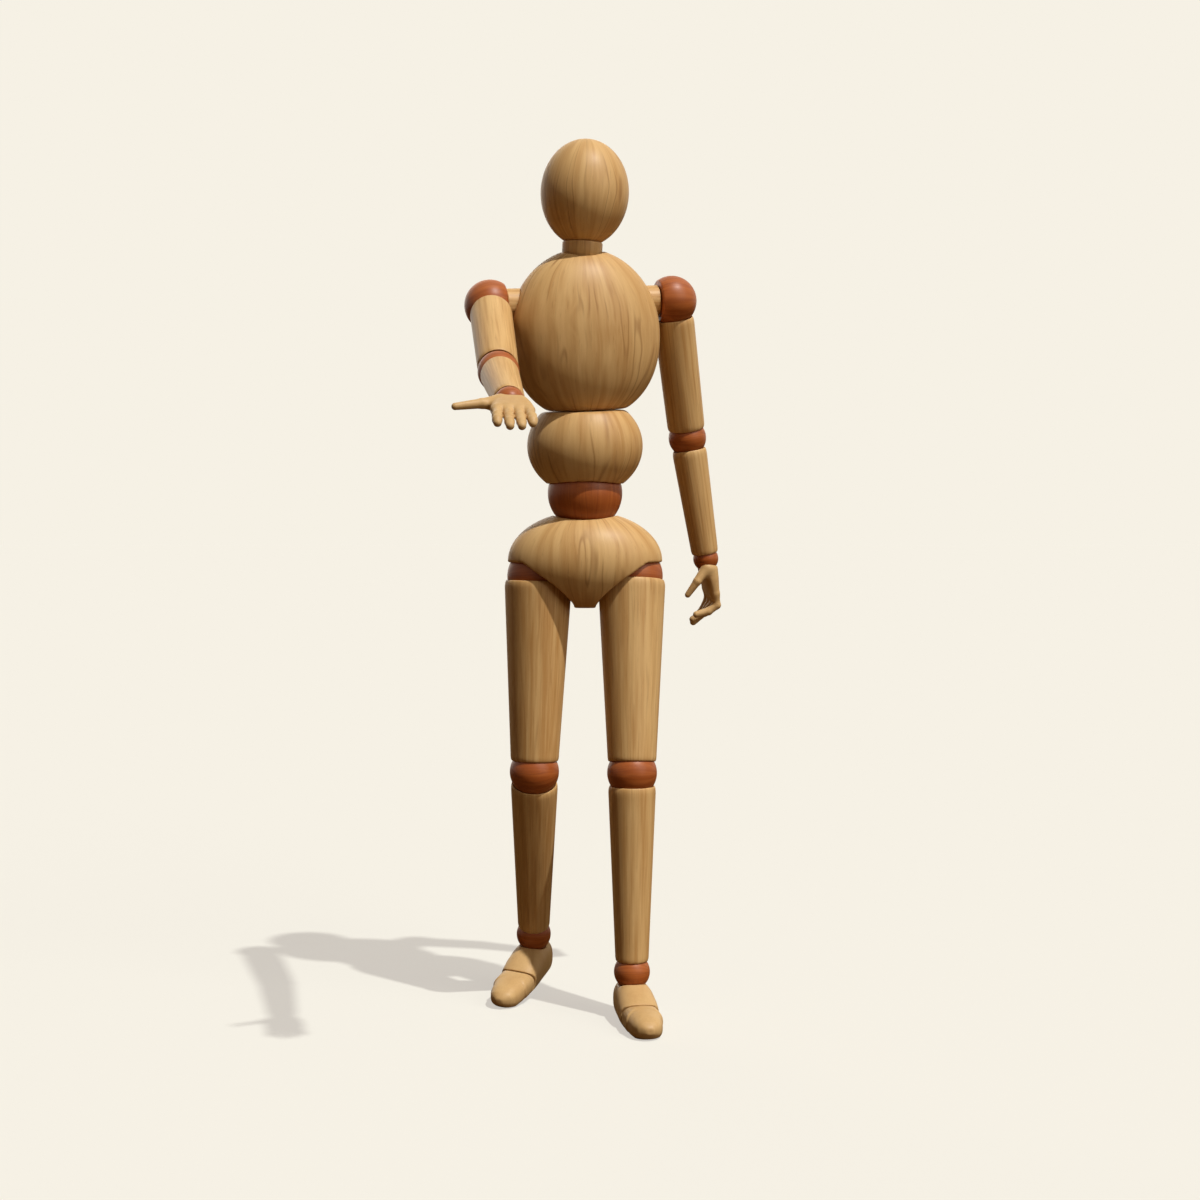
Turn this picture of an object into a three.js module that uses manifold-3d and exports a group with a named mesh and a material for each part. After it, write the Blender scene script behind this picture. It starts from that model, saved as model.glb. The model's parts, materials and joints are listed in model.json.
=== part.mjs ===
import * as THREE from 'three';
import { mergeVertices } from 'three/addons/utils/BufferGeometryUtils.js';
import Module from 'manifold-3d';

// Articulated wooden drawing figure, standing, in millimetres, +Z up.
// The figure faces -Y. Its left side is +X and its right side is -X.

// Running clearance between a ball and its cup, and between pieces that meet
const GAP = 0.3;
// Clearance of a loose hole round the piece of wire or rod in it
const LOOSE = 0.35;
// How far a cutting solid runs past the face that it cuts
const PAST = 1;

// Facets round the large turned pieces, the limbs, the balls and the small steel pieces
const ROUND_LARGE = 24;
const ROUND_EGG = 20;
const ROUND_LIMB = 20;
const ROUND_ARM = 16;
const ROUND_BORE = 8;

// Torso pieces: half width, half depth and half height of each turned egg
const PELVIS = { width: 26.3, depth: 16.8, height: 17.0 };
const ABDOMEN = { width: 19.6, depth: 16.6, height: 17.0 };
const CHEST = { width: 25.9, depth: 16.6, height: 28.4 };
const HEAD = { width: 14.75, depth: 14.75, height: 17.7 };
const NECK_RADIUS = 6.75;
// Fullness of the egg outlines: 2 is a true ellipse and more is squarer
const EGG_FULLNESS = 2;
const CHEST_FULLNESS_BELOW = 2.25;

// Heights along the torso
const WAIST_ABOVE_PELVIS = 23.1;
const ABDOMEN_ABOVE_WAIST = 16.0;
const CHEST_ABOVE_WAIST = 53.5;
const CHEST_FACE_BELOW_CENTRE = 25.7;
const NECK_ABOVE_CHEST = 27.7;
const HEAD_ABOVE_NECK = 19.0;
// Small lean of the chest on its flat face, and the sideways shift that centres it again
const CHEST_LEAN = -1.7;
const CHEST_SHIFT = 0.75;

// Ball radii
const WAIST_BALL = 12.7;
const HIP_BALL = 10.6;
const KNEE_BALL = 8.4;
const ANKLE_BALL = 6.09;
const SHOULDER_BALL = 8.55;
const ELBOW_BALL = 6.56;
const WRIST_BALL = 4.45;

// Hips: sideways and downward offsets from the pelvis centre
const HIP_OUT = 15.9;
const HIP_DOWN = 5.1;
// Shoulders: offsets from the chest centre
const SHOULDER_OUT = 31.6;
const SHOULDER_UP = 10.35;
const SHOULDER_BACK = 2.5;
const STUB_RADIUS = 5.45;
const STUB_INSET = 4.5;

// Limb lengths between ball centres and outer radii at the top and bottom
const THIGH = { length: 66.9, top: 11.4, bottom: 8.3 };
const SHIN = { length: 67.4, top: 8.0, bottom: 5.7 };
const UPPER_ARM = { length: 48.3, top: 6.95, bottom: 6.5 };
const FOREARM = { length: 43.4, top: 6.0, bottom: 4.8 };
// How far a rim's inner edge lies inside the limb's side, and the length of its rounding
const LIP = 0.5;
const THIGH_TOP_LIP = 0.62;
const RIM_ROUND = 1.3;
// Radius of the bore along every limb
const LEG_BORE = 3.1;
const ARM_BORE = 2.4;

// Feet, measured from the ankle ball's centre; forward is -Y
const ANKLE_HEIGHT = 15.7;
const FOOT_HINGE_FORWARD = 18.0;
const TOE_KNUCKLE = 4.1;
const TOE_AXIS_HEIGHT = 4.3;

// Steel pieces of the legs and torso, and the finer ones of the arms
const LEG_STEEL = { wire: 0.55, pin: 0.8, eye: 1.75, stem: 0.8, head: 1.45, coil: 1.9, arm: 0.8, plate: 1.1 };
const ARM_STEEL = { wire: 0.4, pin: 0.55, eye: 1.25, stem: 0.6, head: 1.1, coil: 1.5, arm: 0.6, plate: 0.7 };
const COIL_TURNS = 5;
const COIL_FACETS = 6;

// Extra length and thickness details of the steel pieces
const STEM_HEAD_LENGTH = 0.9;
const FORK_HEAD_LENGTH = 1.2;
const PIN_INSET = 0.6;
const SPRING_PAST_BALL = 1.6;
const BORE_PIN_ROOM = 0.05;
// Bores for the springs across the hips and shoulders, and the depth of the stubs in the chest
const HIP_CROSS_BORE = 2.3;
const SHOULDER_CROSS_BORE = 2.7;
const STUB_IN_CHEST = 3.5;

// Inward head and slot sizes shared by the waist ball, its cross pin and both forks
const FORK_SIDE = 3.2;
const FORK_YOKE = 8.6;
const CROSS_HALF = 6.5;

// Bore up the torso, the swivel flange of its spring in the chest, and the rod through the neck
const TORSO_BORE = 4.6;
const FLANGE_RADIUS = 5.2;
const FLANGE_HEIGHT = 1.2;
const FLANGE_ABOVE_FACE = 22.0;
const NECK_ROD_HEAD = 1.8;
const NECK_ROD_BELOW = 11.2;
const NECK_BORE = 1.3;
const HEAD_BORE = 2.5;
const HEAD_BORE_DEPTH = 17;

// Height above the hip's centre up to which the thigh's rim can swing in the pelvis
const HIP_SWEEP_TOP = 4.6;

// Where the stem heads of the hips and shoulders sit, from the middle plane
const HIP_HEAD_OUT = 1.6;
const SHOULDER_HEAD_OUT = 13.0;

// How far the wrist's stem reaches into the hand, and the ankle's into the foot
const HAND_STEM = 7.2;
const FOOT_STEM = 12.9;

// Rings of a foot from heel to toe: distance forward, half width, bottom and top above the sole
const FOOT_RINGS = [
  [-8.2, 2.6, 3.4, 8.6],
  [-7.2, 4.4, 1.4, 11.0],
  [-4.5, 5.7, -1, 12.6],
  [0, 6.2, -1, 13.2],
  [5, 6.5, -1, 12.9],
  [10, 6.8, -1, 11.4],
  [15.6, 6.7, -1, 9.3],
];
const TOE_RINGS = [
  [18.0, 6.1, -1, 8.3],
  [22.5, 5.8, -1, 7.8],
  [26.5, 5.1, -1, 7.1],
  [29.3, 3.9, 0.5, 6.2],
  [30.8, 2.0, 1.9, 4.9],
];

// Hands: rings of the palm forward of the wrist, and the fingers, which bend from a distance forward
const PALM_RINGS = [
  [0.9, 4.9, -2.6, 2.4],
  [3.0, 5.5, -3.4, 2.9],
  [6.5, 6.1, -3.2, 2.5],
  [10.5, 6.3, -2.8, 2.0],
  [14.0, 5.9, -2.3, 1.5],
];
const FINGER_SPREAD = [-4.5, -1.5, 1.5, 4.4];
const FINGER_RADIUS = 1.42;
const CURL_FROM = 16.2;
const BEND_FROM = 18.0;
const OPEN_HAND = {
  reach: [22.6, 24.6, 24.2, 21.8],
  droop: [-2.0, -2.4, -2.4, -2.0],
  curl: [0, 0, 0, 0],
  thumb: [[-3.6, -3.6, 0.4], [-8.5, -6.2, 0.3], [-16.2, -8.6, -0.4]],
};
const CURLED_HAND = {
  reach: [18.6, 21.2, 23.4, 23.0],
  droop: [-0.2, -0.2, -0.2, -0.2],
  curl: [8.0, 8.6, 7.6, 5.8],
  thumb: [[-3.6, -2.6, 1.4], [-5.2, -6.0, 5.6], [-5.0, -10.2, 9.6]],
};

// Joint limits that shape the cut-outs, in degrees from the straight figure
const KNEE_HALF_BEND = 24;
const ELBOW_HALF_BEND = 26;
const HIP_FORWARD = 24;
const HIP_BACK = 16;
const HIP_SPREAD = 14;
const HIP_CLOSE = 3;
const SHOULDER_SPREAD = 32;
const ANKLE_TILT = 26;
const WRIST_BEND = 34;
const WAIST_TILT = 20;
const NECK_TILT = 15;

// The photographed pose, in degrees; forward swings and bends are positive
const POSE = {
  waistBend: 5.9,
  waistSide: 0,
  chestTurn: 15,
  neckTilt: -2,
  headTurn: 0,
  neckLean: 5,
  left: {
    hipSwing: 8.2,
    hipSpread: 0,
    knee: 8,
    ankleTurn: 10,
    toe: 0,
    shoulderSwing: -9,
    shoulderSpread: 8.2,
    elbow: 7.5,
    wristBend: -6,
    wristTurn: 0,
  },
  right: {
    hipSwing: 1,
    hipSpread: 1.2,
    footPitch: 12,
    ankleTurn: 20,
    toe: 0,
    shoulderSwing: 63.4,
    shoulderSpread: 8.2,
    elbow: 15.6,
    wristBend: 3,
    wristTurn: -90,
  },
};

const LIGHT_WOOD = 0xc59d6b;
const STAINED_WOOD = 0x94501f;
const STEEL = 0x9a9da1;

const wasm = await Module();
wasm.setup();
const rad = THREE.MathUtils.degToRad;

// Closed solid from a geometry, with its facets facing outwards
function solid(geometry) {
  const bare = new THREE.BufferGeometry();
  const flat = geometry.index ? geometry.toNonIndexed() : geometry;
  bare.setAttribute('position', flat.getAttribute('position'));
  const merged = mergeVertices(bare, 1e-4);
  const points = merged.getAttribute('position').array;
  const index = merged.index.array;
  const kept = [];
  let volume = 0;
  for (let i = 0; i < index.length; i += 3) {
    const [a, b, c] = [index[i], index[i + 1], index[i + 2]];
    if (a !== b && b !== c && a !== c) {
      kept.push(a, b, c);
      const p = new THREE.Vector3().fromArray(points, 3 * a);
      const q = new THREE.Vector3().fromArray(points, 3 * b);
      const r = new THREE.Vector3().fromArray(points, 3 * c);
      volume += p.dot(q.cross(r));
    }
  }
  if (volume < 0) {
    for (let i = 0; i < kept.length; i += 3) {
      [kept[i], kept[i + 1]] = [kept[i + 1], kept[i]];
    }
  }
  return new wasm.Manifold(new wasm.Mesh({
    numProp: 3,
    vertProperties: new Float32Array(points),
    triVerts: new Uint32Array(kept),
  }));
}

// Geometry from a solid
function surface(body) {
  const mesh = body.getMesh();
  const geometry = new THREE.BufferGeometry();
  geometry.setAttribute('position', new THREE.BufferAttribute(new Float32Array(mesh.vertProperties), 3));
  geometry.setIndex(new THREE.BufferAttribute(new Uint32Array(mesh.triVerts), 1));
  geometry.computeVertexNormals();
  return geometry;
}

function cut(body, ...tools) {
  return tools.reduce((rest, tool) => rest.subtract(tool), body);
}

function join(...bodies) {
  return bodies.reduce((sum, body) => sum.add(body));
}

// Solid of revolution about Z from [radius, height] pairs
function turned(profile, facets) {
  const points = profile.map(([r, z]) => new THREE.Vector2(Math.max(r, 0), z));
  return new THREE.LatheGeometry(points, facets).rotateX(Math.PI / 2);
}

// Points of a circular arc in the profile plane, angles in radians from the +radius direction
function arc(centreZ, radius, from, to, steps) {
  const points = [];
  for (let i = 0; i <= steps; i += 1) {
    const t = from + ((to - from) * i) / steps;
    points.push([radius * Math.cos(t), centreZ + radius * Math.sin(t)]);
  }
  return points;
}

function ball(radius, facets) {
  return turned(arc(0, radius, -Math.PI / 2, Math.PI / 2, facets / 2), facets);
}

// Cylinder whose axis runs along X, Y or Z, centred at a point
function rod(axis, radius, from, to, facets, at = [0, 0, 0]) {
  const geometry = new THREE.CylinderGeometry(radius, radius, to - from, facets);
  geometry.translate(0, (from + to) / 2, 0);
  if (axis === 'x') {
    geometry.rotateZ(-Math.PI / 2);
  }
  if (axis === 'z') {
    geometry.rotateX(Math.PI / 2);
  }
  return geometry.translate(...at);
}

// Round cutting tool whose facets stay outside the given radius
function hole(axis, radius, from, to, facets, at) {
  return rod(axis, radius / Math.cos(Math.PI / facets), from, to, facets, at);
}

function block(x0, x1, y0, y1, z0, z1) {
  return new THREE.BoxGeometry(x1 - x0, y1 - y0, z1 - z0)
    .translate((x0 + x1) / 2, (y0 + y1) / 2, (z0 + z1) / 2);
}

// Flat slab with an outline given in the YZ plane, as thick as given along X and centred at x
function slab(outline, thickness, x = 0) {
  const shape = new THREE.Shape(outline.map(([y, z]) => new THREE.Vector2(y, z)));
  const geometry = new THREE.ExtrudeGeometry(shape, { depth: thickness, bevelEnabled: false });
  geometry.translate(0, 0, -thickness / 2);
  const turn = new THREE.Matrix4().makeBasis(
    new THREE.Vector3(0, 1, 0),
    new THREE.Vector3(0, 0, 1),
    new THREE.Vector3(1, 0, 0),
  );
  return geometry.applyMatrix4(turn).translate(x, 0, 0);
}

// Body through rings of points, closed at both ends
function loft(rings) {
  const count = rings[0].length;
  const points = [];
  const index = [];
  rings.forEach((ring) => ring.forEach((p) => points.push(...p)));
  for (let i = 0; i + 1 < rings.length; i += 1) {
    for (let j = 0; j < count; j += 1) {
      const a = i * count + j;
      const b = i * count + ((j + 1) % count);
      index.push(a, b, b + count, a, b + count, a + count);
    }
  }
  const cap = (ring, start, flip) => {
    const centre = points.length / 3;
    const mean = [0, 1, 2].map((k) => ring.reduce((s, p) => s + p[k], 0) / count);
    points.push(...mean);
    for (let j = 0; j < count; j += 1) {
      const a = start + j;
      const b = start + ((j + 1) % count);
      index.push(centre, flip ? b : a, flip ? a : b);
    }
  };
  cap(rings[0], 0, true);
  cap(rings[rings.length - 1], (rings.length - 1) * count, false);
  const geometry = new THREE.BufferGeometry();
  geometry.setAttribute('position', new THREE.Float32BufferAttribute(points, 3));
  geometry.setIndex(index);
  return geometry;
}

// Ring of points in a plane across Y: half width, bottom and top, squarer with a smaller power
function crossRing(y, halfWidth, bottom, top, count, power = 0.8) {
  const ring = [];
  for (let j = 0; j < count; j += 1) {
    const t = (2 * Math.PI * j) / count;
    const c = Math.cos(t);
    const s = Math.sin(t);
    ring.push([
      halfWidth * Math.sign(c) * Math.abs(c) ** power,
      y,
      (bottom + top) / 2 + ((top - bottom) / 2) * Math.sign(s) * Math.abs(s) ** power,
    ]);
  }
  return ring;
}

// Rounded finger through points with a radius at each, closed by small end rings
function finger(points, radii, sides) {
  const path = points.map((p) => new THREE.Vector3(...p));
  const rings = [];
  const last = path.length - 1;
  const ringAt = (centre, direction, radius) => {
    const across = new THREE.Vector3(1, 0, 0);
    if (Math.abs(direction.x) > 0.8) {
      across.set(0, 1, 0);
    }
    const u = across.clone().cross(direction).normalize();
    const v = direction.clone().cross(u);
    const ring = [];
    for (let j = 0; j < sides; j += 1) {
      const t = (2 * Math.PI * j) / sides;
      const p = centre.clone()
        .addScaledVector(u, radius * Math.cos(t))
        .addScaledVector(v, radius * Math.sin(t));
      ring.push(p.toArray());
    }
    return ring;
  };
  path.forEach((p, i) => {
    const before = path[Math.max(i - 1, 0)];
    const after = path[Math.min(i + 1, last)];
    const direction = after.clone().sub(before).normalize();
    if (i === 0) {
      rings.push(ringAt(p.clone().addScaledVector(direction, -0.7 * radii[0]), direction, 0.6 * radii[0]));
    }
    rings.push(ringAt(p, direction, radii[i]));
    if (i === last) {
      rings.push(ringAt(p.clone().addScaledVector(direction, 0.7 * radii[i]), direction, 0.65 * radii[i]));
    }
  });
  return loft(rings);
}

// Wire of constant thickness along a path of points
function wire(points, radius) {
  const vectors = points.map((p) => new THREE.Vector3(...p));
  const polyline = new THREE.Curve();
  const last = vectors.length - 1;
  polyline.getPoint = (t, target = new THREE.Vector3()) => {
    const at = Math.min(Math.max(t, 0), 1) * last;
    const i = Math.min(Math.floor(at), last - 1);
    return target.lerpVectors(vectors[i], vectors[i + 1], at - i);
  };
  polyline.getPointAt = polyline.getPoint;
  polyline.getTangent = (t, target = new THREE.Vector3()) => {
    const i = Math.round(Math.min(Math.max(t, 0), 1) * last);
    return target.subVectors(vectors[Math.min(i + 1, last)], vectors[Math.max(i - 1, 0)]).normalize();
  };
  polyline.getTangentAt = polyline.getTangent;
  const section = new THREE.Shape();
  for (let j = 0; j < 3; j += 1) {
    const t = ((2 * Math.PI) / 3) * j;
    const method = j === 0 ? 'moveTo' : 'lineTo';
    section[method](radius * Math.cos(t), radius * Math.sin(t));
  }
  return new THREE.ExtrudeGeometry(section, { steps: last, extrudePath: polyline, bevelEnabled: false });
}

// Half width of an egg at a height, as a share of its full half width
function eggShare(height, halfHeight, fullness) {
  const share = Math.min(Math.abs(height) / halfHeight, 1);
  return (1 - share ** fullness) ** (1 / fullness);
}

// Turned egg, flattened in depth, between two heights from its centre
function egg(size, below, above, fullnessBelow, facets, steps) {
  const profile = [[0, -below]];
  for (let i = 0; i <= steps; i += 1) {
    const low = Math.asin(Math.min(below / size.height, 1));
    const high = Math.asin(Math.min(above / size.height, 1));
    const z = size.height * Math.sin(-low + ((low + high) * i) / steps);
    const share = eggShare(z, size.height, z < 0 ? fullnessBelow : EGG_FULLNESS);
    profile.push([size.width * share, z]);
  }
  profile.push([0, above]);
  const clean = profile.filter(([r, z], i) => i === 0 || r > 1e-6 || Math.abs(profile[i - 1][0]) > 1e-6);
  return turned(clean, facets).scale(1, size.depth / size.width, 1);
}

// Limb along -Z from the upper ball's centre, with a cup at each end and a bore
function limb(size, topBall, bottomBall, bore, topLip, facets) {
  const topCup = topBall + GAP;
  const bottomCup = bottomBall + GAP;
  const topEdge = Math.acos((size.top - topLip) / topCup);
  const bottomEdge = Math.acos((size.bottom - LIP) / bottomCup);
  const topZ = -topCup * Math.sin(topEdge);
  const bottomZ = -size.length + bottomCup * Math.sin(bottomEdge);
  const profile = [
    ...arc(0, topCup, -Math.acos(bore / topCup), -topEdge, 3),
    [size.top - 0.3 * topLip, topZ - 0.25 * RIM_ROUND],
    [size.top, topZ - RIM_ROUND],
    [size.bottom, bottomZ + RIM_ROUND],
    [size.bottom - 0.3 * LIP, bottomZ + 0.25 * RIM_ROUND],
    ...arc(-size.length, bottomCup, bottomEdge, Math.acos(bore / bottomCup), 3),
  ];
  profile.push(profile[0]);
  return turned(profile, facets);
}

// Room for an eye on a pin along X and for its shank, which leans up to a given angle
function eyeRoom(steel, reach, lean, x, up, down) {
  const thickness = 2 * (steel.wire + LOOSE);
  const start = (steel.wire + LOOSE) / Math.cos(rad(lean));
  const wide = start + reach * Math.tan(rad(lean));
  const round = steel.eye + steel.wire + LOOSE;
  const rooms = [hole('x', round, x - thickness / 2, x + thickness / 2, ROUND_BORE)];
  if (up) {
    rooms.push(slab([[start, 0], [wide, reach], [-wide, reach], [-start, 0]], thickness, x));
  }
  if (down) {
    rooms.push(slab([[-start, 0], [-wide, -reach], [wide, -reach], [start, 0]], thickness, x));
  }
  return rooms;
}

// Sideways offset of each of two eyes that share a pin
function eyeBeside(steel) {
  return steel.wire + 0.12;
}

// Ball held on a cross pin along X, with slots for the eyes above and below
function pinnedBall(steel, radius, lean, facets) {
  const reach = radius + PAST;
  const beside = eyeBeside(steel);
  return cut(
    solid(ball(radius, facets)),
    solid(hole('x', steel.pin + BORE_PIN_ROOM, -reach, reach, 6)),
    ...eyeRoom(steel, reach, lean, beside, true, false).map(solid),
    ...eyeRoom(steel, reach, lean, -beside, false, true).map(solid),
  );
}

// Eye of wire about a point on Z, open a little where it leaves its own shank
function eyePoints(steel, centreZ, shankSense, plane, x) {
  const points = [];
  const steps = 7;
  const open = 42;
  for (let i = 0; i <= steps; i += 1) {
    const t = rad(open + ((360 - open) * i) / steps);
    const side = steel.eye * Math.sin(t);
    const along = centreZ + shankSense * steel.eye * Math.cos(t);
    points.push(plane === 'yz' ? [x, side, along] : [side, 0, along]);
  }
  return points;
}

// Extension spring with an eye at each end, from the upper pin to the lower pin
function limbSpring(steel, size, topBall, bottomBall, topEye, bottomEye) {
  const beside = { shared: eyeBeside(steel), single: 0, cross: 0 };
  const plane = (eye) => (eye === 'cross' ? 'xz' : 'yz');
  const topX = -beside[topEye];
  const bottomX = beside[bottomEye];
  const points = eyePoints(steel, 0, -1, plane(topEye), topX);
  const topEnd = -(topBall + SPRING_PAST_BALL);
  const bottomEnd = -size.length + bottomBall + SPRING_PAST_BALL;
  const taper = 1.4;
  points.push([topX, 0, topEnd]);
  const steps = COIL_TURNS * COIL_FACETS;
  for (let i = 0; i <= steps; i += 1) {
    const t = (2 * Math.PI * i) / COIL_FACETS;
    const z = topEnd - taper + ((bottomEnd - topEnd + 2 * taper) * i) / steps;
    points.push([steel.coil * Math.cos(t), steel.coil * Math.sin(t), z]);
  }
  points.push([bottomX, 0, bottomEnd]);
  points.push(...eyePoints(steel, -size.length, 1, plane(bottomEye), bottomX).reverse());
  return wire(points, steel.wire);
}

// Hollow sleeve along X with necked ends that hold the heads of two stems
function sleeve(halfLength, outer, inner, hole, lip) {
  return turned([
    [hole, -halfLength],
    [outer, -halfLength],
    [outer, halfLength],
    [hole, halfLength],
    [hole, halfLength - lip],
    [inner, halfLength - lip],
    [inner, -halfLength + lip],
    [hole, -halfLength + lip],
    [hole, -halfLength],
  ], ROUND_BORE).rotateY(Math.PI / 2);
}

// Sizes of a stirrup: half length of its cross bar and where its plate starts
function stirrupSizes(steel) {
  const inside = steel.wire + 2 * LOOSE;
  return {
    inside,
    barHalf: inside + steel.arm,
    plateAt: steel.eye + steel.wire + LOOSE,
  };
}

// Stirrup in a ball: a cross bar along Y, two arms, a plate and a headed stem along -X
function stirrup(steel, stemTo) {
  const { inside, barHalf, plateAt } = stirrupSizes(steel);
  const half = steel.pin * 0.85;
  return join(
    solid(rod('y', steel.pin, -barHalf, barHalf, 6)),
    solid(block(-plateAt, 0, inside, barHalf, -half, half)),
    solid(block(-plateAt, 0, -barHalf, -inside, -half, half)),
    solid(block(-plateAt - steel.plate, -plateAt, -barHalf, barHalf, -half, half)),
    solid(rod('x', steel.stem, -stemTo, -plateAt - 0.5 * steel.plate, 6)),
    solid(rod('x', steel.head, -stemTo - STEM_HEAD_LENGTH, -stemTo, 8)),
  );
}

// Ball held by a stirrup, with a slot for the limb's eye turned about the cross bar
function stirrupBall(steel, radius, lean, facets, slotTurn) {
  const { barHalf, plateAt } = stirrupSizes(steel);
  const reach = radius + PAST;
  const half = steel.pin * 0.85 + 0.1;
  const wide = barHalf + 0.1;
  const slot = (room) => solid(room.rotateX(slotTurn).rotateZ(Math.PI / 2));
  return cut(
    solid(ball(radius, facets)),
    solid(block(-plateAt - steel.plate - 0.1, 0, -wide, wide, -half, half)),
    solid(hole('y', steel.pin + 0.1, -wide, wide, 6)),
    solid(hole('x', steel.head + 0.1, -reach, -plateAt, 6)),
    ...eyeRoom(steel, reach, lean, 0, false, true).map(slot),
  );
}

// Turns a stirrup or its ball so that the cross bar lies along X and the stem along -Z
function stemDown(body) {
  const turn = new THREE.Matrix4().makeBasis(
    new THREE.Vector3(0, 0, 1),
    new THREE.Vector3(1, 0, 0),
    new THREE.Vector3(0, 1, 0),
  );
  return solid(surface(body).applyMatrix4(turn));
}

// Two eyes side by side on a pin along X, carried by a yoke and a shank that runs down along -Z
function forkHook(side, yokeAt, shankTo) {
  const { wire: thick, pin, eye: eyeRadius, stem, head } = LEG_STEEL;
  const eye = (x) => cut(
    solid(rod('x', eyeRadius + thick, x - thick, x + thick, 10)),
    solid(rod('x', pin + 0.2, x - 2 * thick, x + 2 * thick, 10)),
  );
  const arm = (x) => solid(block(x - thick, x + thick, -thick, thick, -yokeAt - 2 * thick, -eyeRadius));
  return join(
    eye(side),
    eye(-side),
    arm(side),
    arm(-side),
    solid(block(-side, side, -thick, thick, -yokeAt - 2 * thick, -yokeAt)),
    solid(rod('z', stem, -shankTo, -yokeAt - thick, 8)),
    solid(rod('z', head, -shankTo - FORK_HEAD_LENGTH, -shankTo, 10)),
  );
}

function waistBall() {
  const reach = WAIST_BALL + PAST;
  const rooms = [];
  for (const x of [FORK_SIDE, -FORK_SIDE]) {
    rooms.push(...eyeRoom(LEG_STEEL, reach, WAIST_TILT, x, false, true));
    const above = eyeRoom(LEG_STEEL, reach, WAIST_TILT, x, true, false);
    rooms.push(...above.map((room) => room.rotateZ(Math.PI / 2)));
  }
  // Wide slots in which the yoke of each fork swings
  const thin = LEG_STEEL.wire + LOOSE;
  const outline = (sign) => {
    const near = FORK_YOKE - 0.8;
    const spread = Math.tan(rad(WAIST_TILT));
    const points = [
      [-(thin + near * spread), sign * near],
      [thin + near * spread, sign * near],
      [thin + reach * spread, sign * reach],
      [-(thin + reach * spread), sign * reach],
    ];
    return sign < 0 ? points.reverse() : points;
  };
  const wide = 2 * (FORK_SIDE + thin);
  rooms.push(slab(outline(-1), wide));
  rooms.push(slab(outline(1), wide).rotateZ(Math.PI / 2));
  rooms.push(hole('x', LEG_STEEL.pin + BORE_PIN_ROOM, -CROSS_HALF, reach, 6));
  rooms.push(hole('y', LEG_STEEL.pin + BORE_PIN_ROOM, -CROSS_HALF, reach, 6));
  return cut(solid(ball(WAIST_BALL, ROUND_LARGE)), ...rooms.map(solid));
}

function waistCross() {
  return join(
    solid(rod('x', LEG_STEEL.pin, -CROSS_HALF + 0.2, CROSS_HALF, 8)),
    solid(rod('y', LEG_STEEL.pin, -CROSS_HALF + 0.2, CROSS_HALF, 8)),
  );
}

function pelvisBody() {
  const waistCup = WAIST_BALL + GAP;
  const tools = [solid(ball(waistCup, ROUND_LARGE).translate(0, 0, WAIST_ABOVE_PELVIS))];
  tools.push(solid(hole('z', LEG_STEEL.head + LOOSE, 1.5, WAIST_ABOVE_PELVIS, 8)));
  tools.push(solid(hole('x', HIP_CROSS_BORE, -HIP_OUT, HIP_OUT, ROUND_BORE, [0, 0, -HIP_DOWN])));
  const seat = HIP_BALL + GAP;
  const swept = Math.hypot(THIGH.top, Math.sin(Math.acos((THIGH.top - THIGH_TOP_LIP) / seat)) * seat);
  for (const side of [1, -1]) {
    const hip = [side * HIP_OUT, 0, -HIP_DOWN];
    tools.push(solid(ball(seat, ROUND_LIMB).translate(...hip)));
    tools.push(solid(ball(swept + GAP, ROUND_LIMB).translate(...hip)).intersect(
      solid(block(-60, 60, -60, 60, -60, -HIP_DOWN + HIP_SWEEP_TOP)),
    ));
    const facets = 12;
    const roomRadius = (THIGH.top + GAP) / Math.cos(Math.PI / facets);
    for (const swing of [-HIP_BACK, 4, HIP_FORWARD]) {
      for (const spread of [-HIP_CLOSE, HIP_SPREAD]) {
        const room = rod('z', roomRadius, -40, -1.2, facets);
        room.rotateY(rad(-side * spread));
        room.rotateX(rad(-swing));
        tools.push(solid(room.translate(...hip)));
      }
    }
  }
  const whole = egg(PELVIS, PELVIS.height, PELVIS.height, EGG_FULLNESS, ROUND_EGG, 10);
  return cut(solid(whole), ...tools);
}

function abdomenBody() {
  const faceHeight = CHEST_ABOVE_WAIST - CHEST_FACE_BELOW_CENTRE - ABDOMEN_ABOVE_WAIST;
  const whole = egg(ABDOMEN, ABDOMEN.height, ABDOMEN.height, EGG_FULLNESS, ROUND_EGG, 10);
  const above = block(-60, 60, -60, 60, 0, 60)
    .rotateY(rad(CHEST_LEAN))
    .translate(0, 0, faceHeight);
  return cut(
    solid(whole),
    solid(ball(WAIST_BALL + GAP, ROUND_LARGE).translate(0, 0, -ABDOMEN_ABOVE_WAIST)),
    solid(above),
    solid(hole('z', TORSO_BORE, -ABDOMEN_ABOVE_WAIST, faceHeight + PAST, ROUND_BORE)),
  );
}

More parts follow.
